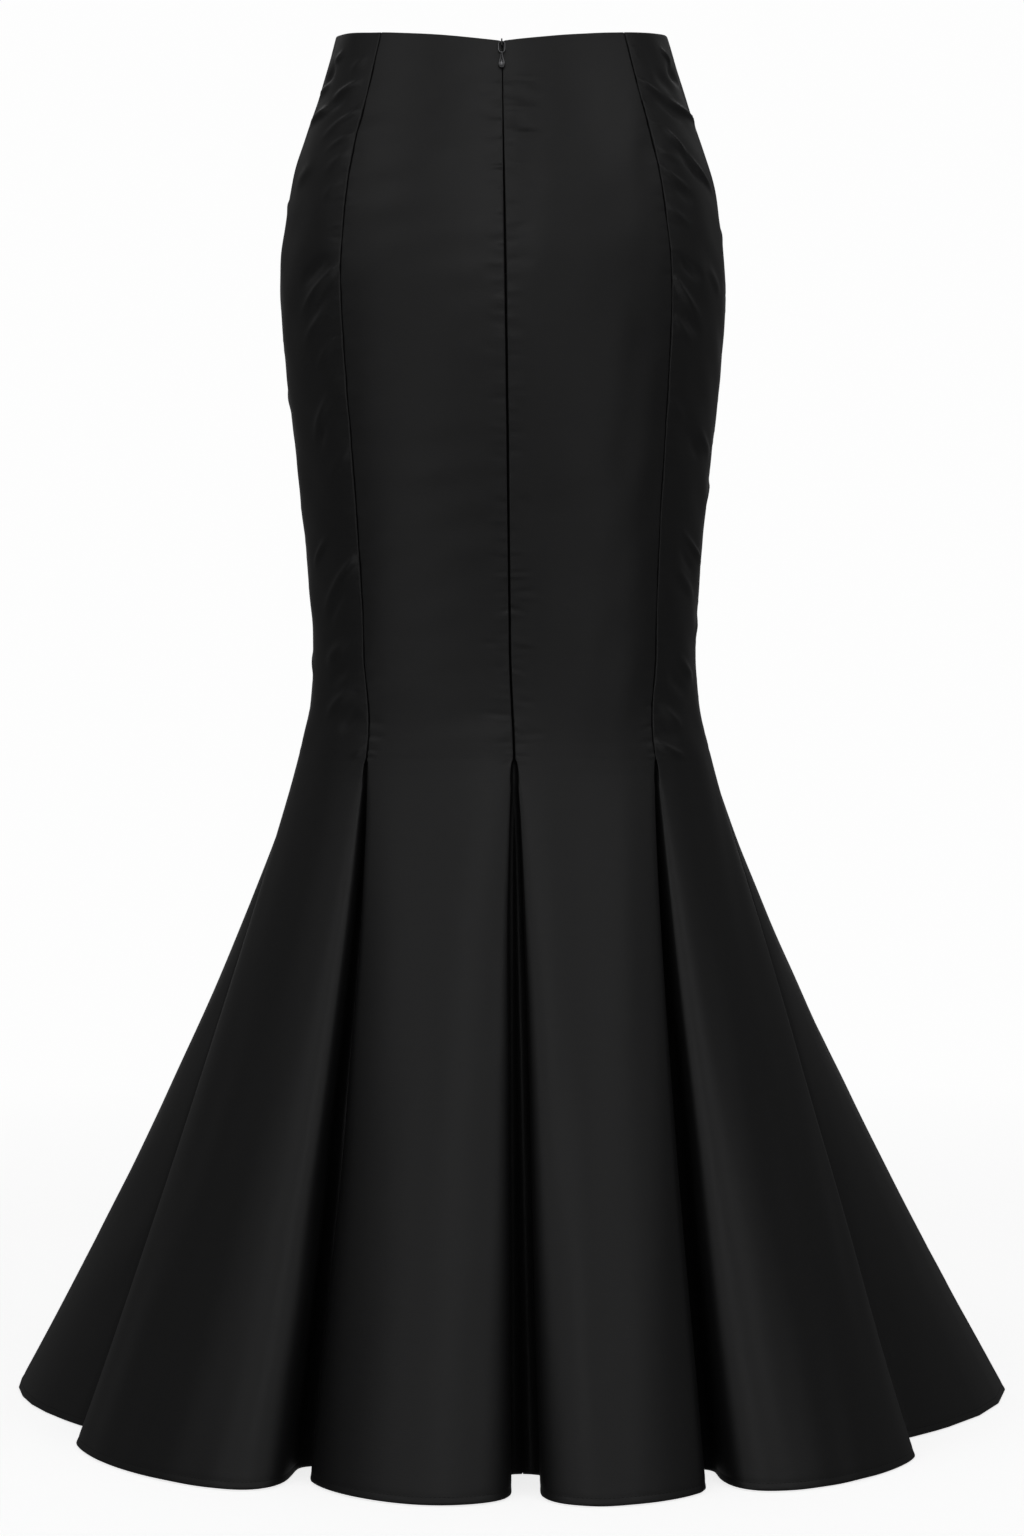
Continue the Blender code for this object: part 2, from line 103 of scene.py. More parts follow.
seamNames = ("waist", "knee", "top", "bottomAngle", "bottomRadius", "underlay", "early", "bow")
seams = {
    "side_left": (-93.0, -93.0, -92.5, -61.3, 0.289, 0.040, 0.003, 0.033),
    "back_princess_left": (-43.8, -45.5, -40.2, -24.3, 0.296, 0.036, 0.010, 0.0),
    "centre_back": (0.0, 1.7, 2.6, 2.1, 0.292, 0.034, 0.012, 0.0),
    "back_princess_right": (44.5, 50.7, 45.0, 23.1, 0.302, 0.036, 0.009, 0.0),
    "side_right": (93.0, 93.0, 92.5, 54.0, 0.296, 0.040, 0.001, 0.060),
    "front_princess_right": (135.0, 135.0, 137.0, 128.5, 0.288, 0.040, 0.010, 0.0),
    "front_princess_left": (225.0, 225.0, 223.0, 231.5, 0.288, 0.040, 0.010, 0.0),
}
seams = {name: dict(zip(seamNames, row)) for name, row in seams.items()}

foldShapes = {"soft": (1.8, 1.15), "round": (2.0, 1.8), "crisp": (2.6, 2.5), "dished": (1.6, 0.75)}

goreNames = ("leftSeam", "rightSeam", "leftAngle", "leftRadius", "leftFold", "crestAngle",
             "crestRadius", "rightAngle", "rightRadius", "rightFold", "crestShare", "ripple")
gores = {
    "side_front_left": ("front_princess_left", "side_left", -127.0, 0.350, "round", -97.0, 0.378,
                        -64.0, 0.334, "dished", 0.86, 0.0),
    "side_back_left": ("side_left", "back_princess_left", -58.6, 0.357, "soft", -32.0, 0.385,
                       -24.7, 0.354, "crisp", 0.785, 0.0),
    "centre_back_left": ("back_princess_left", "centre_back", -23.6, 0.333, "soft", -7.5, 0.384,
                         0.8, 0.353, "round", 0.66, 0.0),
    "centre_back_right": ("centre_back", "back_princess_right", 3.4, 0.357, "round", 10.0, 0.389,
                          21.8, 0.362, "soft", 0.37, 0.0),
    "side_back_right": ("back_princess_right", "side_right", 24.2, 0.354, "crisp", 32.5, 0.389,
                        51.2, 0.365, "soft", 0.33, 0.0),
    "side_front_right": ("side_right", "front_princess_right", 56.5, 0.334, "dished", 92.5, 0.381,
                         126.0, 0.350, "round", 0.10, 0.0),
    "centre_front": ("front_princess_right", "front_princess_left", 131.0, 0.350, "round", 180.0,
                     0.374, 229.0, 0.350, "round", 0.50, 0.006),
}
gores = {name: dict(zip(goreNames, row)) for name, row in gores.items()}


def smoothStep(share):
    share = np.clip(share, 0.0, 1.0)
    return share * share * (3.0 - 2.0 * share)


def bodySize(height):
    # A cubic through the rows, with the slope at each row from its two neighbours.
    rows = bodyRows
    height = np.clip(height, rows[0, 0], rows[-1, 0])
    low = np.clip(np.searchsorted(rows[:, 0], height, side="right") - 1, 0, len(rows) - 2)
    slopes = np.empty_like(rows[:, 1:])
    for i in range(len(rows)):
        a, b = max(i - 1, 0), min(i + 1, len(rows) - 1)
        slopes[i] = (rows[b, 1:] - rows[a, 1:]) / (rows[b, 0] - rows[a, 0])
    span = (rows[low + 1, 0] - rows[low, 0])[..., None]
    share = ((height - rows[low, 0])[..., None]) / span
    rise = share * share * (3.0 - 2.0 * share)
    start = share * (1.0 - share) ** 2 * span
    finish = share * share * (share - 1.0) * span
    return (rows[low, 1:] + (rows[low + 1, 1:] - rows[low, 1:]) * rise
            + slopes[low] * start + slopes[low + 1] * finish)


def flareShare(height):
    down = np.maximum(1.0 - height / form["pleatTop"], 0.0)
    return form["flareStart"] * down + (1.0 - form["flareStart"]) * down ** form["flarePower"]


def seamAngle(seam, height):
    row = seams[seam]
    above = (form["length"] - height) / (form["length"] - form["knee"])
    body = row["waist"] + (row["knee"] - row["waist"]) * np.minimum(above, 1.0)
    below = smoothStep((form["knee"] - height) / (form["knee"] - form["pleatTop"]))
    return body + (row["top"] - row["knee"]) * below


def around(angle, radiusX, radiusY):
    turn = np.radians(angle)
    return np.stack([radiusX * np.sin(turn), -radiusY * np.cos(turn)], axis=-1)


def bodyPlan(angle, height):
    size = bodySize(np.broadcast_to(height, np.shape(angle)))
    back = np.cos(np.radians(angle)) > 0.0
    return around(angle, size[..., 0], np.where(back, size[..., 1], size[..., 2]))


def waistEdge(angle):
    side = np.cos(np.radians(angle))
    turned = np.degrees(np.arccos(np.clip(side, 0.0, 1.0)))
    back = form["dipBack"] * (1.0 - turned / 90.0) ** form["dipPower"]
    return form["length"] - np.where(side > 0.0, back, form["dipFront"] * side * side)


def inward(seam, opened):
    # The way a pleat goes in from its mouth.
    row = seams[seam]
    angle = row["top"] + (row["bottomAngle"] - row["top"]) * smoothStep(opened * form["turnSpeed"])
    return -around(angle, 1.0, 1.0)


def along(seam, opened):
    # Across the mouth, toward the gore on its right.
    way = inward(seam, opened)
    return np.stack([way[..., 1], -way[..., 0]], axis=-1)


def goreAngle(gore, across, height):
    # across runs from -1 at the left fold through 0 at the crest to 1 at the right fold.
    left = seamAngle(gore["leftSeam"], height)
    right = seamAngle(gore["rightSeam"], height)
    left = np.where(left > right, left - 360.0, left)
    crest = gore["crestShare"]
    share = crest + np.where(across > 0.0, 1.0 - crest, crest) * across
    return left + (right - left) * share


def hemPlan(gore, across):
    out = np.abs(across)
    parts = []
    for side in ("left", "right"):
        crestPower, foldPower = foldShapes[gore[side + "Fold"]]
        rise = np.maximum(0.0, 1.0 - out ** crestPower) ** (1.0 / foldPower)
        angle = gore["crestAngle"] + (gore[side + "Angle"] - gore["crestAngle"]) * out
        radius = gore[side + "Radius"] + (gore["crestRadius"] - gore[side + "Radius"]) * rise
        radius = radius + gore["ripple"] * np.sin(math.pi * out) * np.cos(math.pi * form["ripples"] * out)
        parts.append(around(angle, radius, radius))
    return np.where((across > 0.0)[..., None], parts[1], parts[0])


def gorePlan(gore, across, height):
    across, height = np.broadcast_arrays(across, height)
    body = bodyPlan(goreAngle(gore, across, height), height)
    opened = flareShare(height)
    down = np.maximum(1.0 - height / form["pleatTop"], 0.0)
    topHeight = np.full_like(height, form["pleatTop"])
    top = bodyPlan(goreAngle(gore, across, topHeight), topHeight)
    flared = top + (hemPlan(gore, across) - top) * opened[..., None]
    for side, sign in (("left", 1.0), ("right", -1.0)):
        seam = gore[side + "Seam"]
        out = np.clip(across * -sign, 0.0, 1.0)
        early = seams[seam]["early"] * (np.sqrt(down) - down) * out ** form["foldReach"]
        bow = seams[seam]["bow"] * opened * np.maximum(1.0 - opened, 0.0) ** form["bowPower"] * out * out
        flared = flared + along(seam, opened) * (early * sign)[..., None]
        flared = flared - inward(seam, opened) * bow[..., None]
    return np.where((height < form["pleatTop"])[..., None], flared, body)


def mouthRadius(seam):
    radii = [g["rightRadius"] for g in gores.values() if g["rightSeam"] == seam]
    radii += [g["leftRadius"] for g in gores.values() if g["leftSeam"] == seam]
    return sum(radii) / len(radii)


def flankPlan(gore, side, height, t):
    # The pleat's flank at heights (rows) and at shares t (columns) of the way from fold to bottom.
    seam = gore[side + "Seam"]
    row = seams[seam]
    opened = flareShare(height)
    down = np.maximum(1.0 - height / form["pleatTop"], 0.0)
    grown = down ** form["depthPower"]
    top = bodyPlan(np.array(row["top"]), np.array(form["pleatTop"]))
    hem = around(row["bottomAngle"], row["bottomRadius"], row["bottomRadius"])
    way = inward(seam, opened)
    bottom = top + (hem - top) * opened[:, None]
    bottom = bottom + way * ((mouthRadius(seam) - row["bottomRadius"]) * (grown - opened))[:, None]
    sign = 1.0 if side == "left" else -1.0
    across = along(seam, opened) * sign
    fold = gorePlan(gore, np.full_like(height, -sign), height)
    depth = np.maximum(((bottom - fold) * way).sum(axis=1), 0.0)
    first = fold + way * (depth * form["flankRun"])[:, None]
    last = bottom + across * (row["underlay"] * grown)[:, None]
    head = np.exp(-((form["pleatTop"] - height) / form["headReach"]) ** 2)
    end = bottom - across * (form["seamLap"] + form["headLap"] * head)[:, None]
    past = np.maximum(t - 1.0, 0.0)[None, :, None] * form["seamFin"] * way[:, None]
    t = np.minimum(t, 1.0)[None, :, None]
    return (fold[:, None] * (1 - t) ** 3 + first[:, None] * 3 * t * (1 - t) ** 2
            + last[:, None] * 3 * t * t * (1 - t) + end[:, None] * t ** 3 + past)


def standing(plan, height):
    # From the plan and a height above the hem to the frame's own place.
    shift = form["lean"] * (1.0 - height / form["length"])
    return np.stack([plan[..., 0] + shift, plan[..., 1], height - form["length"]], axis=-1)


studio = dict(
    cameraDistance=2.4,       # from the skirt's axis
    cameraHeight=0.4726,      # above the hem
    cameraSide=0.0076,
    lens=73.8,
    sensor=36.0,
    clip=(0.05, 60.0),
    floorDrop=0.0015,         # below the hem
    ambient=0.070,
    paperTone=0.8,
    paperGlow=0.80,
    paperNear=1.0,
    paperFar=2.4,
    paperWhite=0.985,         # glow of the paper far away
    floorRings=(1.0, 2.2, 4.0),
    rimRadius=1.5,            # of the curve from the floor up to the wall
    rimSteps=12,
    wallHeight=7.0,
    floorSides=96,
    lights=(                  # name, place, what it points at, size, glow
        ("backPanel", (0.0, -2.77, -0.8), (0.0, 0.0, -0.42), (1.9, 1.1), 0.31),
        ("leftPanel", (-1.85, -2.06, -0.8), (0.0, 0.0, -0.42), (2.1, 1.1), 0.52),
        ("rightPanel", (1.85, -2.06, -0.8), (0.0, 0.0, -0.42), (2.1, 1.1), 0.47),
        ("waistPanel", (0.0, -1.65, 0.34), (0.0, 0.0, -0.1), (2.9, 0.5), 0.22),
        ("highPanel", (0.0, -1.5, 0.9), (0.0, 0.0, -0.1), (2.3, 0.7), 0.44),
        ("highStrip", (-0.16, -1.48, 0.9), (0.0, 0.0, -0.1), (0.45, 0.7), 0.8),
        ("leftNear", (-1.3, -0.9, 0.7), (0.0, 0.0, -0.05), (0.7, 0.7), 0.46),
        ("rightNear", (1.3, -0.9, 0.7), (0.0, 0.0, -0.05), (0.7, 0.7), 0.26),
        ("leftFront", (-1.3, 1.1, 0.7), (0.0, 0.0, -0.15), (0.9, 0.9), 0.09),
        ("rightFront", (1.3, 1.1, 0.7), (0.0, 0.0, -0.15), (0.9, 0.9), 0.09),
        ("leftTop", (-1.5, -0.95, 1.7), (0.0, 0.0, -0.42), (1.1, 1.1), 0.32),
        ("rightTop", (1.5, -0.95, 1.7), (0.0, 0.0, -0.42), (1.1, 1.1), 0.60),
        ("leftSide", (-2.0, -0.45, 1.2), (0.0, 0.0, -0.42), (1.0, 1.4), 0.20),
        ("rightSide", (2.0, -0.45, 1.2), (0.0, 0.0, -0.42), (1.0, 1.4), 0.16),
        ("frontPanel", (0.0, 2.5, 1.9), (0.0, 0.0, -0.45), (3.6, 1.8), 0.38),
        ("frontLow", (0.0, 2.9, -0.3), (0.0, 0.0, -0.45), (2.6, 1.4), 0.14),
    ),
)


def addObject(name, data):
    piece = bpy.data.objects.new(name, data)
    bpy.context.scene.collection.objects.link(piece)
    return piece


def makeCamera():
    data = bpy.data.cameras.new("camera")
    data.lens = studio["lens"]
    data.sensor_width = studio["sensor"]
    data.sensor_fit = "AUTO"
    data.clip_start, data.clip_end = studio["clip"]
    camera = addObject("camera", data)
    camera.location = (studio["cameraSide"], -studio["cameraDistance"],
                       studio["cameraHeight"] - form["length"])
    camera.rotation_euler = (math.radians(90.0), 0.0, 0.0)
    bpy.context.scene.camera = camera


def addLight(name, place, target, size, glow):
    data = bpy.data.lights.new(name, "AREA")
    data.shape = "RECTANGLE"
    data.size, data.size_y = size
    data.energy = glow * math.pi * size[0] * size[1]
    light = addObject(name, data)
    light.location = place
    light.visible_camera = False
    light.rotation_euler = (Vector(target) - Vector(place)).to_track_quat("-Z", "Y").to_euler()


def makeStudio():
    world = bpy.data.worlds.new("studio")
    bpy.context.scene.world = world
    world.use_nodes = True
    background = world.node_tree.nodes["Background"]
    background.inputs["Color"].default_value = (1.0, 1.0, 1.0, 1.0)
    background.inputs["Strength"].default_value = studio["ambient"]
    for name, place, target, size, glow in studio["lights"]:
        addLight(name, place, target, size, glow)
    makeSweep()
    bpy.context.scene.view_settings.view_transform = "Standard"
    bpy.context.scene.view_settings.look = "None"


def makeSweep():
    # A round floor whose rim curves up into a wall, the same from every side.
    floor = -form["length"] - studio["floorDrop"]
    rings, bend, steps = studio["floorRings"], studio["rimRadius"], studio["rimSteps"]
    profile = [(radius, 0.0) for radius in rings]
    for i in range(1, steps + 1):
        turn = math.pi / 2 * i / steps
        profile.append((rings[-1] + bend * math.sin(turn), bend * (1.0 - math.cos(turn))))
    profile.append((rings[-1] + bend, studio["wallHeight"]))
    count = studio["floorSides"]
    verts = [(0.0, 0.0, floor)]
    for radius, rise in profile:
        for k in range(count):
            turn = 2 * math.pi * k / count
            verts.append((radius * math.cos(turn), radius * math.sin(turn), floor + rise))
    faces = [(0, 1 + k, 1 + (k + 1) % count) for k in range(count)]
    for ring in range(len(profile) - 1):
        first = 1 + ring * count
        for k in range(count):
            a, b = first + k, first + (k + 1) % count
            faces.append((a, a + count, b + count, b))
    mesh = bpy.data.meshes.new("floor")
    mesh.from_pydata(verts, [], faces)
    mesh.shade_smooth()
    mesh.materials.append(paperMaterial())
    floorPiece = addObject("floor", mesh)
    floorPiece.visible_glossy = False
    floorPiece.visible_diffuse = False
    floorPiece.visible_shadow = False


def addNode(tree, kind, values=None, **settings):
    # A node with its settings made and its sockets' values filled in.
    node = tree.nodes.new(kind)
    for name, value in settings.items():
        setattr(node, name, value)
    for socket, value in (values or {}).items():
        node.inputs[socket].default_value = value
    return node


def addMix(tree, first, second):
    return addNode(tree, "ShaderNodeMix", {"A": (*first, 1.0), "B": (*second, 1.0)}, data_type="RGBA")


def join(tree, *links):
    for source, output, target, socket in links:
        tree.links.new(source.outputs[output], target.inputs[socket])


def newMaterial(name, values):
    material = bpy.data.materials.new(name)
    material.use_nodes = True
    shader = material.node_tree.nodes["Principled BSDF"]
    for socket, value in values.items():
        shader.inputs[socket].default_value = value
    return material, material.node_tree, shader


def paperMaterial():
    # White paper: its own light grows with the distance from the skirt, so that it has no edge.
    material, tree, shader = newMaterial("floorPaper", {
        "Roughness": 1.0, "Specular IOR Level": 0.0, "Emission Strength": 1.0})
    coordinates = addNode(tree, "ShaderNodeTexCoord")
    flatten = addNode(tree, "ShaderNodeVectorMath", {1: (1.0, 1.0, 0.0)}, operation="MULTIPLY")
    distance = addNode(tree, "ShaderNodeVectorMath", operation="LENGTH")
    grow = addNode(tree, "ShaderNodeMapRange", {
        "From Min": studio["paperNear"], "From Max": studio["paperFar"]})
    tone = addMix(tree, (studio["paperTone"],) * 3, (0.0, 0.0, 0.0))
    glow = addMix(tree, (studio["paperGlow"],) * 3, (studio["paperWhite"],) * 3)
    join(tree, (coordinates, "Object", flatten, 0), (flatten, "Vector", distance, 0),
         (distance, "Value", grow, "Value"), (grow, "Result", tone, "Factor"),
         (grow, "Result", glow, "Factor"), (tone, "Result", shader, "Base Color"),
         (glow, "Result", shader, "Emission Color"))
    return material


satin = dict(
    color=(0.0115, 0.0115, 0.0119),
    worn=(0.0140, 0.0140, 0.0145),
    roughness=0.40,
    specular=0.50,
    yarn=0.00045,            # width of one weft yarn
    slub=0.006,              # scale of the cloth's slight unevenness
    bumpDistance=0.00004,
)


def waveScale(yarn):
    # The wave texture's scale at which one wave is one yarn.
    return 1 / yarn / 20 * math.pi * 2


def makeSatin():
    # Weft ribs and slight slubs in the gore's own UV map, which is laid out in metres.
    material, tree, shader = newMaterial("satin", {
        "Roughness": satin["roughness"], "Specular IOR Level": satin["specular"]})
    slub, yarn = satin["slub"], satin["yarn"]
    uv = addNode(tree, "ShaderNodeUVMap", uv_map="cloth")

    def addNoise(scaleX, scaleY):
        mapping = addNode(tree, "ShaderNodeMapping", {"Scale": (scaleX, scaleY, 1.0)})
        texture = addNode(tree, "ShaderNodeTexNoise", {"Scale": 1.0, "Detail": 2.0})
        join(tree, (uv, "UV", mapping, "Vector"), (mapping, "Vector", texture, "Vector"))
        return texture

    slubs = addNoise(1 / slub / 6, 1 / slub)
    yarns = addNoise(1 / slub, 1 / yarn / 2)
    tone = addMix(tree, satin["color"], satin["worn"])
    weft = addNode(tree, "ShaderNodeTexWave", {
        "Scale": waveScale(yarn), "Distortion": 1.5, "Detail": 1.0}, bands_direction="Y")
    ribs = addNode(tree, "ShaderNodeMath", {1: 0.5}, operation="MULTIPLY_ADD")
    bump = addNode(tree, "ShaderNodeBump", {"Distance": satin["bumpDistance"], "Strength": 1.0})
    join(tree, (slubs, "Fac", tone, "Factor"), (tone, "Result", shader, "Base Color"),
         (uv, "UV", weft, "Vector"), (weft, "Fac", ribs, 0), (yarns, "Fac", ribs, 2),
         (ribs, "Value", bump, "Height"), (bump, "Normal", shader, "Normal"))
    return material


goreDetail = dict(
    clothThick=0.0008,
    flankShares=(0.012, 0.03, 0.055, 0.09, 0.135, 0.19, 0.26, 0.34, 0.43, 0.53, 0.64, 0.75, 0.86,
                 0.94, 1.0, 1.06),
    edgeShares=(0.0, 0.0012, 0.003, 0.0055, 0.009, 0.0135, 0.0195, 0.027),
    waistShare=0.2,          # height of the rows that spread to the waist edge
    hemRows=(0.0, 0.0003, 0.0009, 0.0018, 0.0028, 0.0036, 0.0042, 0.0048, 0.0056, 0.007, 0.009,
             0.012, 0.016),
    hemRadius=0.00095,       # of the turned-up edge
    hemTurn=(0.0056, 0.0042, 0.0028, 0.0016),
    waistRadius=0.00085,     # of the turned-in waist edge
    waistTurn=(0.0020, 0.0040, 0.0062),
    stitchLine=0.0043,       # above the hem
    stitchDip=0.00022,
    dipWidth=0.0009,
    kinkBlend=0.011,         # softens the bend at the pleat tops
    kinkReach=0.045,         # over this much above and below them
    closeRows=0.03,          # rows are close together this far below the pleat tops
    closeStep=1.2,           # and this much wider apart than in the body
    foldBlend=(0.0010, 0.0095),   # roundness of a fold at the pleat top and at the hem
    foldPower=0.7,
    foldEnds=0.02,           # it fades out over this much at both ends of a row
    samples=7,               # of each such average
    uvStretch=1.06,
    creaseRise={"side": 3.1, "centre": 2.0},
    creaseWidth={"side": 0.56, "centre": 0.9},
    mottle=0.00032,          # slight unevenness over the whole cloth
    mottleSizes=(0.034, 0.052, 0.083),
    cornerRadius=0.0026,     # of the waist edge's corners beside the zip
    cornerDrop=0.0021,
    cornerSpan=0.105,        # width of a centre back gore at the waist
)

seamShape = {                # half gap, width and depth of the edge's roll
    "seam": (0.00034, 0.0007, 0.0024),
    "centre_back": (0.00036, 0.0010, 0.0027),
    "zip": (0.00058, 0.0008, 0.0016),
}
rollDetail = dict(
    fadeFrom=0.022,          # below the pleat tops the rolled edges end here
    fadeSpan=0.02,
    closed=0.0005,           # seams with a smaller gap are sewn shut
    lap=0.00035,             # of their two edges, out of sight
    sink=0.0005,
    zipBlend=0.008,          # length over which the seam changes into the zip's opening
)
zipBottom = 0.829

goreMesh = {                 # row step in the body, row step in the flare, columns
    "centre_back_left": (0.0013, 0.0038, 42),
    "centre_back_right": (0.0013, 0.0038, 42),
    "side_back_left": (0.0016, 0.0039, 57),
    "side_back_right": (0.0016, 0.0039, 57),
    "side_front_left": (0.0034, 0.0052, 46),
    "side_front_right": (0.0034, 0.0052, 46),
    "centre_front": (0.0040, 0.0058, 50),
}

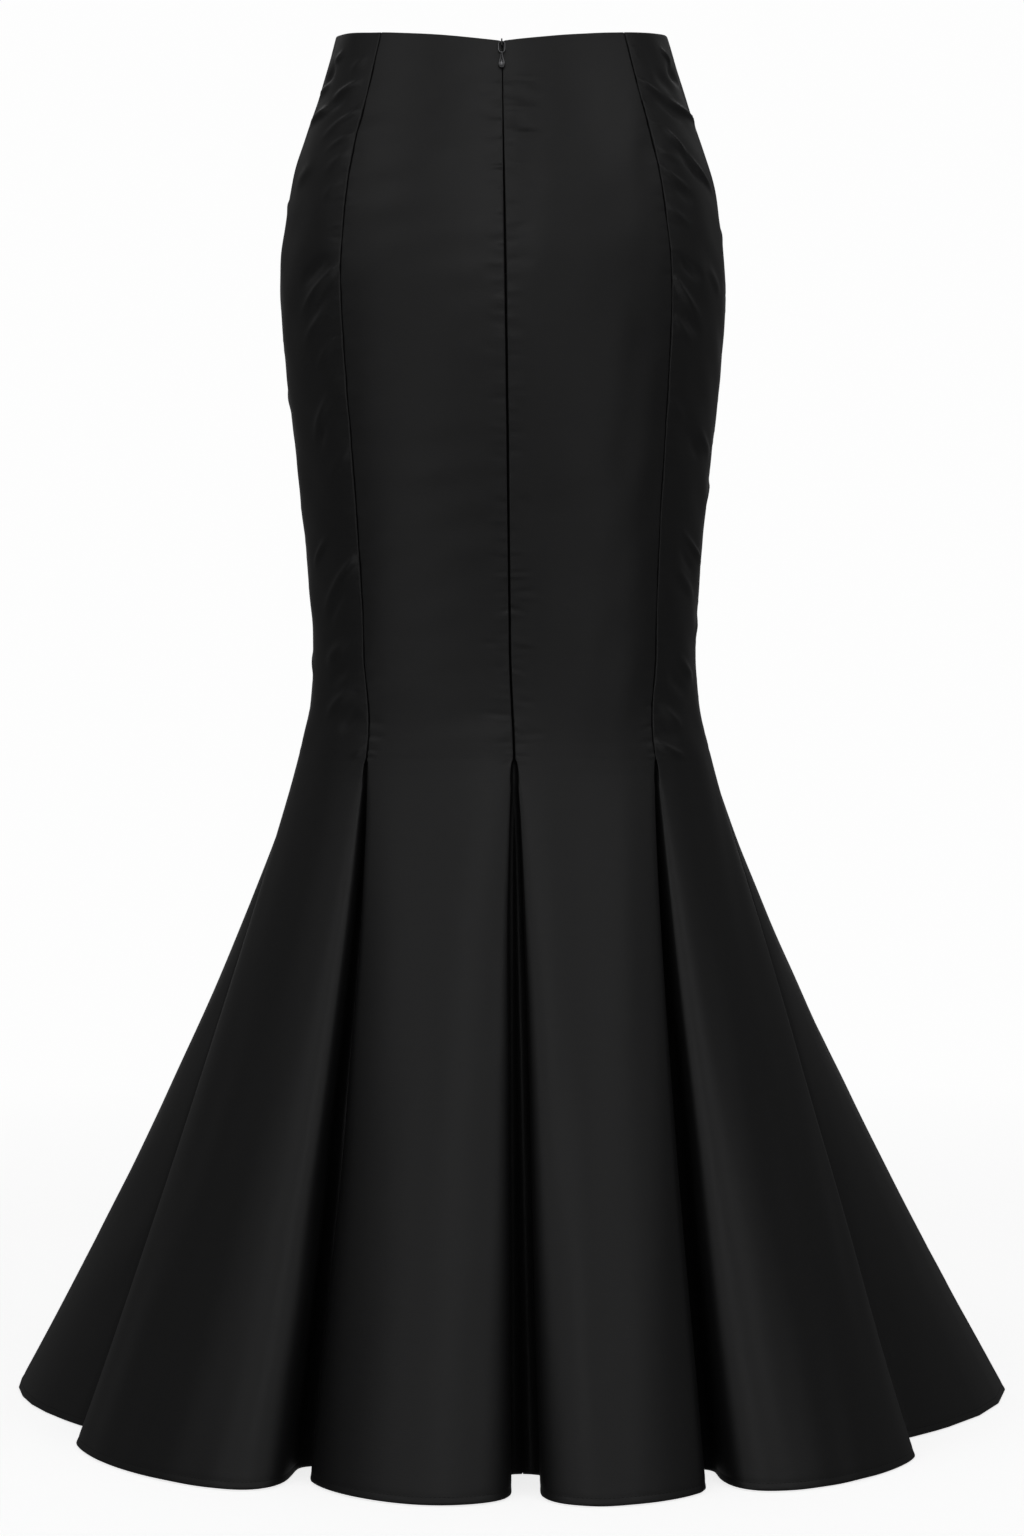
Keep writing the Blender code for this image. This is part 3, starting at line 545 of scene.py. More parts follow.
# Creases in millimetres, by the seam that distances are from and by how they end: distance and
# height of both ends, half width, and rise of the cloth (less than 0 is a trough). A crease that is
# "from" its seam is full at its first end.
creases = {
    "side_back_left": {
        ("right", "both"): (
            (5, 982, 40, 971, 3.6, 0.75), (30, 966, 76, 956, 4.2, 0.9), (14, 972, 52, 958, 5, -0.45),
            (44, 999, 66, 989, 8, -1.2), (46, 986, 70, 979, 5, 0.7), (36, 1009, 52, 1002, 4, 0.5),
            (6, 1000, 26, 992, 5, 0.3), (4, 906, 26, 893, 6, 0.3), (40, 925, 70, 905, 7, 0.4),
            (8, 850, 48, 828, 6.5, -0.75), (5, 828, 40, 800, 6, -0.7), (10, 812, 46, 786, 4.5, 0.4),
            (5, 790, 32, 766, 4.5, 0.35), (12, 752, 44, 716, 5.5, 0.6), (24, 729, 38, 708, 5, -0.4),
            (30, 646, 60, 622, 4, 0.55), (11, 609, 42, 578, 5.5, -0.45), (12, 567, 46, 549, 6.5, 0.7),
            (10, 550, 42, 534, 6, -0.5), (9, 531, 50, 510, 5.5, 0.7), (4, 514, 32, 499, 6.5, -0.6),
        ),
        ("right", "from"): (
            (1, 959, 44, 939, 3.6, 0.6), (0, 940, 34, 930, 3.2, 0.5), (2, 926, 30, 912, 5, 0.35),
            (1, 840, 52, 806, 4, 0.75), (3, 706, 30, 684, 6, 0.3), (4, 626, 50, 585, 4.6, 0.75),
            (1, 488, 16, 480, 3, 0.3),
        ),
        ("left", "from"): (
            (1, 905, 22, 893, 4, 0.35), (2, 760, 28, 742, 5, 0.4), (2, 560, 30, 540, 5, 0.4),
        ),
    },
    "side_back_right": {
        ("left", "both"): (
            (36, 1013, 54, 1000, 2.2, 0.75), (38, 998, 62, 990, 7, -1.1), (24, 973, 82, 960, 2.9, 0.85),
            (6, 974, 54, 958, 6, -0.6), (16, 991, 48, 979, 8, -0.5), (13, 948, 38, 929, 2.3, 0.85),
            (32, 934, 76, 902, 3.1, 0.65), (16, 939, 62, 906, 5, -0.5), (8, 905, 36, 892, 5, -0.35),
            (5, 851, 36, 833, 5.5, -0.8), (12, 811, 36, 792, 5, -0.55), (42, 848, 68, 826, 6, 0.5),
            (38, 727, 72, 706, 5.5, 0.6), (26, 720, 52, 703, 6, -0.4), (22, 651, 72, 625, 3.8, 0.85),
            (18, 639, 54, 617, 5, -0.5), (14, 626, 56, 599, 5.5, 0.6), (22, 559, 58, 537, 5.5, 0.7),
            (8, 547, 46, 527, 6.5, -0.5), (4, 522, 36, 502, 4.8, 0.7), (1, 508, 32, 491, 6, -0.5),
        ),
        ("left", "from"): (
            (2, 1006, 11, 1001, 3, 0.3), (0, 983, 30, 971, 2.4, 0.7), (0, 960, 12, 954, 1.7, 0.3),
            (1, 965, 9, 961, 1.7, 0.22), (0, 950, 17, 946, 1.5, 0.32), (0, 930, 25, 921, 4, 0.5),
            (1, 916, 34, 900, 2.8, 0.65), (3, 884, 28, 873, 3.6, 0.4), (3, 831, 36, 804, 3.8, 0.85),
            (4, 803, 28, 785, 3.8, 0.5), (4, 742, 26, 726, 5, 0.3), (3, 491, 38, 480, 3.3, 0.8),
        ),
        ("right", "from"): (
            (1, 884, 24, 868, 4, 0.35), (2, 690, 30, 668, 5, 0.4), (2, 586, 26, 566, 4.5, 0.35),
        ),
    },
    "centre_back_right": {
        ("left", "both"): (
            (4, 977.2, 30, 977, 1.1, 0.16), (3, 975, 28, 974.6, 1.2, -0.15), (12, 968, 30, 966, 3, 0.18),
            (4, 962, 34, 961, 3.4, -0.28), (4, 945.5, 20, 945, 3.6, -0.24), (5, 939, 26, 940, 2.2, -0.24),
            (3, 933.6, 32, 935, 1.3, 0.28), (4, 920, 16, 919, 2.2, 0.12), (4, 910.4, 20, 910.4, 1.1, 0.15),
            (4, 908.3, 19, 908.5, 1.1, -0.13), (12, 898, 34, 897, 3, -0.2), (3, 866, 22, 864, 3.4, -0.16),
            (2, 842, 26, 838, 4, -0.18), (2, 742, 20, 739, 3, 0.15), (2, 668, 18, 664, 3, -0.16),
            (2, 601, 22, 601.6, 1.7, -0.2), (2, 596.5, 24, 596, 1.6, 0.2), (1, 563, 20, 562.4, 1.5, 0.16),
            (1, 559.5, 20, 559, 1.6, -0.15), (2, 520, 19, 521, 1.7, -0.2), (3, 497, 26, 498, 2, -0.2),
            (18, 915, 84, 880, 16, 0.26), (22, 800, 92, 766, 13, -0.26), (34, 716, 104, 758, 15, 0.3),
            (14, 640, 82, 694, 12, -0.3), (30, 560, 98, 604, 14, 0.26), (12, 690, 50, 724, 9, 0.2),
        ),
        ("left", "from"): (
            (0, 954.6, 32, 954.2, 1.1, 0.2), (0, 952.5, 25, 952.3, 1.1, -0.18),
            (2, 929, 12, 928.6, 2, -0.2), (1, 884, 14, 883, 2.4, 0.14), (1, 818, 16, 816, 2.6, 0.14),
            (1, 790, 18, 787, 3, -0.16), (1, 703, 15, 700, 2.4, -0.15), (2, 627, 15, 627, 1.6, -0.16),
            (1, 614.8, 18, 615.2, 1.3, -0.24), (1, 612, 19, 612, 1.2, 0.24),
            (0, 588.5, 15, 584.5, 1.5, -0.32), (1, 585.5, 12, 582.5, 1.2, 0.18),
            (1, 542.5, 13, 537.5, 1.4, 0.36), (1, 545, 11, 542, 1.3, -0.22),
            (1, 503.5, 10, 497.5, 1.3, 0.3), (1, 499.5, 8, 494.5, 1.2, -0.3),
            (1, 490.5, 13, 489, 1.5, -0.24), (0, 481.5, 12, 480, 1.1, -0.34), (0, 479, 13, 477, 1.2, 0.3),
        ),
        ("right", "from"): (
            (0, 519.5, 10, 517, 1.5, -0.2), (0, 504, 12, 500, 1.6, -0.25), (0, 493, 14, 490, 1.6, -0.22),
            (0, 484.5, 8, 482, 1.2, -0.22), (0, 482, 9, 479, 1.1, 0.2),
        ),
    },
    "centre_back_left": {
        ("right", "both"): (
            (3, 966.5, 22, 965.5, 3, -0.26), (4, 951, 20, 950, 3.4, -0.14), (3, 918, 20, 917, 4, -0.24),
            (3, 880, 14, 879, 3, -0.26), (2, 832, 18, 829, 3.4, -0.18), (2, 778, 22, 774, 3.4, -0.18),
            (2, 655, 18, 650, 3.2, 0.16), (2, 563, 26, 564, 1.8, -0.26), (3, 546, 14, 545, 2.5, -0.24),
        ),
        ("right", "from"): (
            (0, 943.4, 14, 943, 1.2, 0.2), (0, 929, 6, 928.6, 1.1, 0.2), (0, 908, 13, 908, 1.3, 0.36),
            (0, 905.6, 12, 905.4, 1.2, -0.2), (0, 893.5, 7, 891, 1.1, -0.26), (0, 890.6, 8, 888, 1.1, 0.22),
            (0, 874.5, 8, 874, 1.1, 0.16), (0, 872, 8, 871.6, 1.1, -0.16), (0, 851.6, 6, 851, 1.1, 0.18),
            (0, 849, 7, 848.6, 1.1, -0.18), (1, 808, 14, 806, 2.4, 0.14), (1, 741, 15, 739, 2.4, -0.15),
            (1, 712, 17, 709, 3, 0.15), (1, 683, 13, 681, 2.2, -0.16), (1, 637, 11, 637, 1.4, -0.16),
            (1, 627, 11, 627, 1.4, 0.14), (1, 614.5, 14, 614.8, 1.3, -0.22), (1, 611.8, 13, 612, 1.2, 0.16),
            (1, 600.5, 15, 600, 1.6, -0.17), (0, 588, 9, 585.5, 1.3, -0.3), (0, 585, 8, 582.8, 1.1, 0.18),
            (1, 531, 12, 529, 1.8, 0.14), (0, 511, 28, 513, 1.7, -0.3), (1, 507.5, 14, 508, 1.3, 0.16),
            (1, 491.5, 15, 491, 1.5, -0.22), (0, 480.5, 10, 471, 1.3, -0.32), (0, 484, 7, 482.5, 1.1, 0.2),
        ),
        ("left", "from"): (
            (0, 506, 18, 505, 2, -0.24), (0, 496.5, 17, 495.5, 1.5, -0.24), (1, 492, 13, 492.6, 1.4, 0.2),
            (0, 483.4, 11, 481.6, 1.1, 0.3), (0, 481.2, 10, 479.2, 1, -0.32),
        ),
    },
    "side_front_left": {
        ("right", "from"): (
            (1, 990, 38, 974, 4, 0.7), (2, 900, 34, 884, 4.5, 0.5),
        ),
        ("right", "both"): (
            (4, 958, 46, 936, 4.5, 0.7), (6, 946, 34, 930, 5.5, -0.5), (3, 852, 44, 822, 5, 0.8),
            (8, 838, 40, 812, 5.5, -0.6), (2, 770, 36, 744, 5.5, 0.55), (4, 688, 40, 660, 5.5, 0.5),
            (3, 604, 46, 572, 5, 0.7), (8, 590, 40, 560, 5.5, -0.5), (4, 532, 40, 508, 5.5, 0.6),
        ),
        ("left", "from"): (
            (2, 962, 28, 950, 4, 0.4), (1, 884, 30, 868, 5, 0.4), (2, 618, 34, 594, 5, 0.5),
            (1, 506, 24, 494, 4, 0.4),
        ),
        ("left", "both"): (
            (3, 742, 34, 720, 5.5, 0.45),
        ),
    },
    "side_front_right": {
        ("left", "from"): (
            (1, 984, 42, 966, 4.2, 0.75), (3, 932, 36, 916, 4, 0.5), (3, 806, 32, 786, 4.5, 0.45),
            (2, 512, 32, 496, 4.5, 0.5),
        ),
        ("left", "both"): (
            (5, 968, 40, 950, 6, -0.5), (4, 880, 46, 852, 5, 0.75), (8, 864, 40, 840, 5.5, -0.55),
            (4, 728, 40, 700, 5.5, 0.55), (3, 644, 44, 614, 5, 0.7), (8, 630, 38, 602, 5.5, -0.45),
            (4, 560, 42, 534, 5.5, 0.6),
        ),
        ("right", "from"): (
            (2, 946, 26, 934, 4, 0.4), (2, 700, 34, 676, 5.5, 0.4), (2, 590, 32, 568, 5, 0.45),
            (1, 502, 22, 491, 4, 0.4),
        ),
        ("right", "both"): (
            (2, 862, 32, 844, 5, 0.45),
        ),
    },
    "centre_front": {
        ("left", "from"): (
            (0, 972, 24, 970, 1.8, 0.22), (0, 938, 16, 937, 1.7, -0.22), (1, 905, 22, 902, 2.6, 0.2),
            (1, 842, 18, 839, 2.4, -0.2), (1, 724, 20, 721, 2.6, 0.18), (0, 640, 16, 638, 1.8, -0.2),
            (0, 566, 22, 564, 1.8, 0.2), (0, 512, 16, 509, 1.7, -0.24), (0, 482, 12, 479, 1.8, -0.3),
        ),
        ("right", "from"): (
            (0, 980, 18, 978, 1.8, 0.2), (0, 924, 24, 922, 1.8, -0.22), (1, 880, 16, 878, 2.4, 0.2),
            (1, 798, 20, 795, 2.6, -0.18), (0, 676, 18, 674, 2, 0.18), (0, 604, 20, 602, 1.8, -0.22),
            (0, 548, 16, 546, 1.8, 0.2), (0, 496, 18, 494, 1.8, -0.22), (0, 482, 12, 479, 1.8, -0.3),
        ),
        ("left", "both"): (
            (92, 876, 150, 868, 9, 0.5), (70, 560, 128, 548, 9, 0.45),
        ),
        ("right", "both"): (
            (84, 842, 138, 852, 9, -0.45), (64, 530, 120, 540, 9, 0.4),
        ),
    },
}

tinyPuckers = dict(          # small gathers left by the stitching, all along a seam
    spacing=(0.008, 0.015), reach=(0.006, 0.020), width=(0.0015, 0.0026), rise=(0.00010, 0.00024),
    low=0.486, high=0.975, tilt=0.25,
    elsewhere=0.55,          # share of their rise at other seams than the centre back
)


creaseShape = dict(
    near=4,                  # widths away, where a crease ends
    bow=0.03,                # sideways bow of a crease longer than bowFrom, as a share of its length
    bowFrom=0.03,
    fadeOut=0.75,            # share of its length over which a crease from a seam dies out
    fadeEnds=0.45,           # and over which any other rises and dies out
    strong=0.0008,           # a crease that rises more is weaker beside the seams
    seamLeast=0.3,
    seamReach=0.008,
    past=0.002,              # how far a crease runs past a fold
    flareShare=0.2,          # the unevenness is this much taller below the pleat tops
    endReach=0.012,          # the relief dies out this far from a flank's end
)


def goreColumns(gore, count):
    # Columns as distances across the gore, close together at both seams.
    edges = np.array(goreDetail["edgeShares"])
    middle = np.linspace(edges[-1], 1.0 - edges[-1], count)[1:-1]
    share = np.concatenate([edges, middle, 1.0 - edges[::-1]])
    crest = gore["crestShare"]
    return (share - crest) / np.where(share < crest, crest, 1.0 - crest)


def goreHeights(gore, across, bodyStep, flareStep):
    # Heights of every point, and how far each row lies behind the face where an edge is turned in.
    detail = goreDetail
    radius = detail["hemRadius"]
    hem = np.array(detail["hemRows"])
    behind = [(rise, 2 * radius) for rise in detail["hemTurn"]]
    behind += [(radius * 0.3, radius * 1.7), (0.0, radius)]
    pleatTop, hip = form["pleatTop"], form["hip"]
    nearTop = pleatTop - detail["closeRows"]
    flare = np.linspace(hem[-1], nearTop, round((nearTop - hem[-1]) / flareStep))[1:]
    close = np.linspace(nearTop, pleatTop, round(detail["closeRows"] / bodyStep / detail["closeStep"]))[1:]
    body = np.linspace(pleatTop, hip, round((hip - pleatTop) / bodyStep))[1:]
    up = np.concatenate([hem, flare, close, body])
    curved = radius - np.sqrt(np.maximum(radius ** 2 - (radius - up) ** 2, 0.0))
    bottomFront = np.where(up < radius, curved, 0.0)
    level = [rise for rise, depth in behind][:-1] + list(up)
    depths = [depth for rise, depth in behind][:-1] + list(bottomFront)
    opened = len(level) - len(body) - 1
    level = np.repeat(np.array(level)[:, None], len(across), axis=1)

    edge = waistEdge(goreAngle(gore, across, np.full_like(across, form["length"])))
    edge = edge - cornerDrop(gore, across)
    radius = detail["waistRadius"]
    shares = np.linspace(0.0, 1.0, round(detail["waistShare"] / bodyStep))[1:]
    waist = hip + (edge[None, :] - radius - hip) * shares[:, None]
    # The turned-in edge goes over half a circle in steps of 22.5 and 45 degrees.
    over = [(radius * 0.62, 0.0761 * radius), (radius * 0.29, 0.2929 * radius), (0.0, radius),
            (radius * 0.29, 1.7071 * radius), (radius, 2 * radius)]
    over += [(drop, 2 * radius) for drop in detail["waistTurn"]]
    top = np.stack([edge - drop for drop, depth in over])
    heights = np.concatenate([level, waist, top])
    depths = np.concatenate([depths, np.zeros(len(waist)), [depth for drop, depth in over]])
    return heights, depths, opened


def cornerDrop(gore, across):
    # The waist edge's corners beside the zip are rounded off.
    width = goreDetail["cornerSpan"]
    crest = gore["crestShare"]
    share = crest + np.where(across > 0.0, 1.0 - crest, crest) * across
    drop = np.zeros_like(across)
    for seam, distance in ((gore["leftSeam"], share * width), (gore["rightSeam"], (1.0 - share) * width)):
        if seam == "centre_back":
            near = np.clip(1.0 - distance / goreDetail["cornerRadius"], 0.0, 1.0)
            drop = drop + goreDetail["cornerDrop"] * (1.0 - np.sqrt(1.0 - near ** 2))
    return drop


def spread():
    # Offsets and weights of a normal average.
    offsets, weights = np.polynomial.hermite_e.hermegauss(goreDetail["samples"])
    return list(zip(offsets, weights / weights.sum()))


def rowsBlended(gore, across, heights):
    # The gore's face, with the bend at the pleat tops softened over a few centimetres.
    near = np.exp(-((heights - form["pleatTop"]) / goreDetail["kinkReach"]) ** 2)
    points = 0.0
    for offset, weight in spread():
        shifted = heights + offset * goreDetail["kinkBlend"] * near
        points = points + standing(gorePlan(gore, across, shifted), heights) * weight
    # The seam edges go back sideways to where they meet, so that no gap shows at a pleat's head.
    travel = distanceAlong(points)
    for edge, inner, sign, distance in ((0, 1, -1.0, travel), (-1, -2, 1.0, travel[:, -1:] - travel)):
        level = heights[:, edge]
        meeting = standing(gorePlan(gore, np.full_like(level, sign), level), level)
        toward = unit(points[:, inner] - points[:, edge])
        back = ((meeting - points[:, edge]) * toward).sum(axis=1)
        reach = 1.0 - smoothStep(distance / goreDetail["kinkBlend"])
        points = points + (toward * back[:, None])[:, None] * reach[..., None]
    return points


def distanceAlong(points):
    steps = np.linalg.norm(np.diff(points, axis=1), axis=2)
    return np.concatenate([np.zeros((len(points), 1)), np.cumsum(steps, axis=1)], axis=1)


def unit(vectors):
    return vectors / np.maximum(np.linalg.norm(vectors, axis=-1, keepdims=True), 1e-12)


def roundFolds(points, travel, sigma):
    # Each row is averaged along its own line, which rounds the folds.
    samples, ends = spread(), goreDetail["foldEnds"]
    rounded = np.zeros_like(points)
    for row in range(len(points)):
        line, at = points[row], travel[row]
        reach = sigma[row] * smoothStep(np.minimum(at, at[-1] - at) / ends)
        for offset, weight in samples:
            for axis in range(3):
                rounded[row, :, axis] += weight * np.interp(at + offset * reach, at, line[:, axis])
    return rounded


def seamMix(seam, heights):
    # Half gap, width and depth of a seam's roll at each height.
    if seam != "centre_back":
        return [np.full_like(heights, value) for value in seamShape["seam"]]
    blend = rollDetail["zipBlend"]
    above = smoothStep((heights - zipBottom + blend / 2) / blend)
    return [low + (high - low) * above
            for low, high in zip(seamShape["centre_back"], seamShape["zip"])]


def seamRoll(lobe, heights, gore, normals):
    # The cloth beside a seam turns in and meets its neighbour, or leaves a gap for the zip.
    travel = distanceAlong(lobe)
    acrossWay = unit(np.gradient(lobe, axis=1))
    shift = np.zeros_like(lobe)
    detail = rollDetail
    fade = smoothStep((heights - form["pleatTop"] + detail["fadeFrom"]) / detail["fadeSpan"])
    for side, distance, way in (("left", travel, 1.0), ("right", travel[:, -1:] - travel, -1.0)):
        gap, width, depth = seamMix(gore[side + "Seam"], heights)
        turn = np.clip(distance / (gap + width), 0.0, 1.0) * math.pi / 2
        closed = np.where(gap < detail["closed"], 1.0, 0.0) * (distance < 0.00001)
        wanted = gap + width - width * np.cos(turn) - closed * (gap + detail["lap"])
        inside = turn < math.pi / 2
        sideways = np.where(inside, wanted - distance, 0.0) * fade
        down = np.where(inside, depth - depth * np.sin(turn) + closed * detail["sink"], 0.0) * fade
        shift = shift + acrossWay * (sideways * way)[..., None] - normals * down[..., None]
    return shift


def clothRelief(name, travel, foldLeft, foldRight, heights):
    # Rise of the creases, puckers, hem line and unevenness at every point.
    left = travel - travel[:, foldLeft:foldLeft + 1]
    right = travel[:, foldRight:foldRight + 1] - travel
    relief = np.zeros_like(travel)
    shape = creaseShape
    rows = [(side, *(v / 1000 for v in row), kind)
            for (side, kind), group in creases[name].items() for row in group]
    rows += seamPuckers(name)
    place = name.split("_")[0]
    toSeam = smoothStep(np.minimum(left, right) / shape["seamReach"])
    edgeFade = shape["seamLeast"] + (1.0 - shape["seamLeast"]) * toSeam
    for side, d0, h0, d1, h1, width, rise, kind in rows:
        rise, width = rise * goreDetail["creaseRise"][place], width * goreDetail["creaseWidth"][place]
        distance = left if side == "left" else right
        reach = shape["near"] * width
        near = np.where((heights > min(h0, h1) - reach) & (heights < max(h0, h1) + reach))
        u, v = distance[near] - d0, heights[near] - h0
        du, dv = d1 - d0, h1 - h0
        length = math.hypot(du, dv)
        down = (u * du + v * dv) / length ** 2
        off = (u * dv - v * du) / length
        if length > shape["bowFrom"]:
            bow = shape["bow"] * length * 4 * np.clip(down, 0, 1) * (1 - np.clip(down, 0, 1))
            off = off - bow * (1.0 if side == "left" else -1.0)
        if kind == "from":
            taper = np.where(down < 0, np.exp(-(down * length / width) ** 2), 1.0)
            taper = taper * smoothStep((1.0 - down) / shape["fadeOut"])
        else:
            taper = smoothStep(down / shape["fadeEnds"]) * smoothStep((1.0 - down) / shape["fadeEnds"])
        if abs(rise) > shape["strong"]:
            taper = taper * edgeFade[near]
        inside = np.minimum(left, right)[near] > -shape["past"]
        relief[near] += np.where(inside, rise * taper * np.exp(-0.5 * (off / width) ** 2), 0.0)
    random = np.random.default_rng(sum(map(ord, name)))
    share = shape["flareShare"]
    tall = np.where(heights < form["pleatTop"], form["pleatTop"] * (1.0 - share) + heights * share, heights)
    for size in goreDetail["mottleSizes"]:
        for turn in random.uniform(0, 2 * math.pi, 3):
            wave = 2 * math.pi / (size * random.uniform(0.8, 1.25))
            phase = random.uniform(0, 2 * math.pi)
            relief += goreDetail["mottle"] / 3 * np.sin(
                wave * (left * math.cos(turn) + tall * math.sin(turn)) + phase)
    band = np.exp(-0.5 * ((heights - goreDetail["stitchLine"]) / goreDetail["dipWidth"]) ** 2)
    ends = smoothStep(np.minimum(travel, travel[:, -1:] - travel) / shape["endReach"])
    closed = heights > form["pleatTop"]
    return np.where(closed, 1.0, ends) * relief - goreDetail["stitchDip"] * band * ends


def seamPuckers(name):
    # Small puckers at uneven distances on both sides of every seam above the pleats.
    random = np.random.default_rng(40 + len(name) * 7 + sum(map(ord, name)) % 11)
    rows = []
    for side in ("left", "right"):
        strong = 1.0 if gores[name][side + "Seam"] == "centre_back" else tinyPuckers["elsewhere"]
        height = tinyPuckers["low"]
        while height < tinyPuckers["high"]:
            reach = random.uniform(*tinyPuckers["reach"])
            rise = random.uniform(*tinyPuckers["rise"]) * random.choice((-1.0, 1.0)) * strong
            tilt = random.uniform(-tinyPuckers["tilt"], tinyPuckers["tilt"]) * reach
            width = random.uniform(*tinyPuckers["width"])
            rows.append((side, 0.0, height, reach, height + tilt, width, rise, "from"))
            height += random.uniform(*tinyPuckers["spacing"])
    return rows


def goreSurface(name):
    gore = gores[name]
    bodyStep, flareStep, count = goreMesh[name]
    across = goreColumns(gore, count)
    heights, depths, opened = goreHeights(gore, across, bodyStep, flareStep)
    acrossGrid = np.repeat(across[None, :], len(heights), axis=0)
    lobe = rowsBlended(gore, acrossGrid, heights)
    step = 0.0005
    higher = rowsBlended(gore, acrossGrid, heights + step)
    lower = rowsBlended(gore, acrossGrid, heights - step)

    shares = np.array(goreDetail["flankShares"])
    flankCount = len(shares)

    def flankRows(shift):
        rows = {}
        low = np.maximum(heights[:opened, 0] + shift, -0.001)
        for side in ("left", "right"):
            flank = standing(flankPlan(gore, side, low, shares), np.repeat(low[:, None], flankCount, axis=1))
            edge = lobe if shift == 0 else (higher if shift > 0 else lower)
            fold = edge[:opened, 0 if side == "left" else -1]
            base = standing(gorePlan(gore, np.full(opened, -1.0 if side == "left" else 1.0), low), low)
            rows[side] = flank + (fold - base)[:, None] * (np.maximum(1.0 - shares, 0.0) ** 2)[None, :, None]
        return rows

    def wideGrid(middle, flanks):
        low = np.concatenate([flanks["left"][:, ::-1], middle[:opened], flanks["right"]], axis=1)
        high = middle[opened:]
        high = np.concatenate([np.repeat(high[:, :1], flankCount, axis=1), high,
                               np.repeat(high[:, -1:], flankCount, axis=1)], axis=1)
        return np.concatenate([low, high])

    grids = [wideGrid(middle, flankRows(shift))
             for middle, shift in ((lobe, 0.0), (higher, step), (lower, -step))]
    foldLeft, foldRight = flankCount, flankCount + len(across) - 1
    wideHeights = np.concatenate([np.repeat(heights[:, :1], flankCount, axis=1), heights,
                                  np.repeat(heights[:, -1:], flankCount, axis=1)], axis=1)
    tight, wide = goreDetail["foldBlend"]
    down = np.clip(1.0 - wideHeights[:, 0] / form["pleatTop"], 0, 1)
    sigma = tight + (wide - tight) * down ** goreDetail["foldPower"]
    rounded = []
    for grid in grids:
        soft = roundFolds(grid[:opened], distanceAlong(grid[:opened]), sigma[:opened])
        rounded.append(np.concatenate([soft, grid[opened:]]))
    points, higher, lower = rounded
    travel = distanceAlong(points)

    upWay = unit(higher - lower)
    acrossWay = np.empty_like(points)
    acrossWay[:opened] = np.gradient(points[:opened], axis=1)
    core = slice(foldLeft, foldRight + 1)
    acrossWay[opened:, core] = np.gradient(points[opened:, core], axis=1)
    acrossWay[opened:, :foldLeft] = acrossWay[opened:, foldLeft:foldLeft + 1]
    acrossWay[opened:, foldRight + 1:] = acrossWay[opened:, foldRight:foldRight + 1]
    normals = unit(np.cross(unit(acrossWay), upWay))

    lobeNormals = unit(np.cross(unit(np.gradient(points[:, core], axis=1)), upWay[:, core]))
    roll = np.zeros_like(points)
    roll[:, core] = seamRoll(points[:, core], heights, gore, lobeNormals)
    roll[:, :foldLeft] = roll[:, foldLeft:foldLeft + 1]
    roll[:, foldRight + 1:] = roll[:, foldRight:foldRight + 1]
    relief = clothRelief(name, travel, foldLeft, foldRight, wideHeights)
    finished = points + roll + normals * (relief - depths[:, None])[..., None]
    return finished, travel, wideHeights, depths, opened, flankCount


def makeGore(name, material):
    points, travel, heights, depths, opened, flankCount = goreSurface(name)
    middle = travel[:, -1:] / 2
    uvU = travel - middle
    uvV = heights.mean(axis=1) * goreDetail["uvStretch"]
    firstFace = int(np.argmin(heights[:, 0] + (depths > goreDetail["hemRadius"])))
    uvV[:firstFace] = -uvV[:firstFace]
    piece = gridPiece(name + "_cloth", points, opened, flankCount, uvU, uvV, material)
    row = int(np.argmin(np.abs(heights[:, 0] - goreDetail["stitchLine"]) + (depths > 0.0005)))
    hemLine = points[row]
    longest = np.linalg.norm(np.diff(points[firstFace:], axis=0), axis=2).sum(axis=0).max()
    return piece, hemLine, float(travel[row, -1]), float(longest)


def gridPiece(name, points, opened, flankCount, uvU, uvV, material):
    # A sheet from a grid. Rows from `opened` up have no flanks: those columns are one point.
    rows, columns = points.shape[:2]
    index = np.arange(rows * columns).reshape(rows, columns)
    index[opened:, :flankCount] = index[opened:, flankCount][:, None]
    index[opened:, columns - flankCount:] = index[opened:, columns - flankCount - 1][:, None]
    quads = np.stack([index[:-1, :-1], index[:-1, 1:], index[1:, 1:], index[1:, :-1]], axis=-1)
    quads = quads.reshape(-1, 4)
    cell = np.stack(np.meshgrid(np.arange(rows - 1), np.arange(columns - 1), indexing="ij"), axis=-1)
    cell = cell.reshape(-1, 1, 2) + np.array([(0, 0), (0, 1), (1, 1), (1, 0)])
    faces, places = [], []
    for quad, place in zip(quads.tolist(), cell.tolist()):
        keep = [i for i in range(4) if quad[i] != quad[i - 1]]
        if len(keep) > 2:
            faces.append([quad[i] for i in keep])
            places.extend(place[i] for i in keep)
    used = np.unique(np.concatenate([np.array(face) for face in faces]))
    renumber = np.full(rows * columns, -1)
    renumber[used] = np.arange(len(used))
    mesh = bpy.data.meshes.new(name)
    mesh.from_pydata(points.reshape(-1, 3)[used].tolist(), [], [renumber[face].tolist() for face in faces])
    layer = mesh.uv_layers.new(name="cloth")
    places = np.array(places)
    uv = np.stack([uvU[places[:, 0], places[:, 1]], uvV[places[:, 0]]], axis=1)
    layer.data.foreach_set("uv", uv.astype(np.float32).ravel())
    mesh.shade_smooth()
    mesh.materials.append(material)
    return addObject(name, mesh)


def thicken(piece, thickness):
    solidify = piece.modifiers.new("thickness", "SOLIDIFY")
    solidify.thickness = thickness
    solidify.offset = -1.0
    bakeModifiers(piece)


def bakeModifiers(piece):
    graph = bpy.context.evaluated_depsgraph_get()
    mesh = bpy.data.meshes.new_from_object(piece.evaluated_get(graph), depsgraph=graph)
    old = piece.data
    piece.modifiers.clear()
    piece.data = mesh
    bpy.data.meshes.remove(old)


def faceArea(piece):
    return sum(face.area for face in piece.data.polygons)


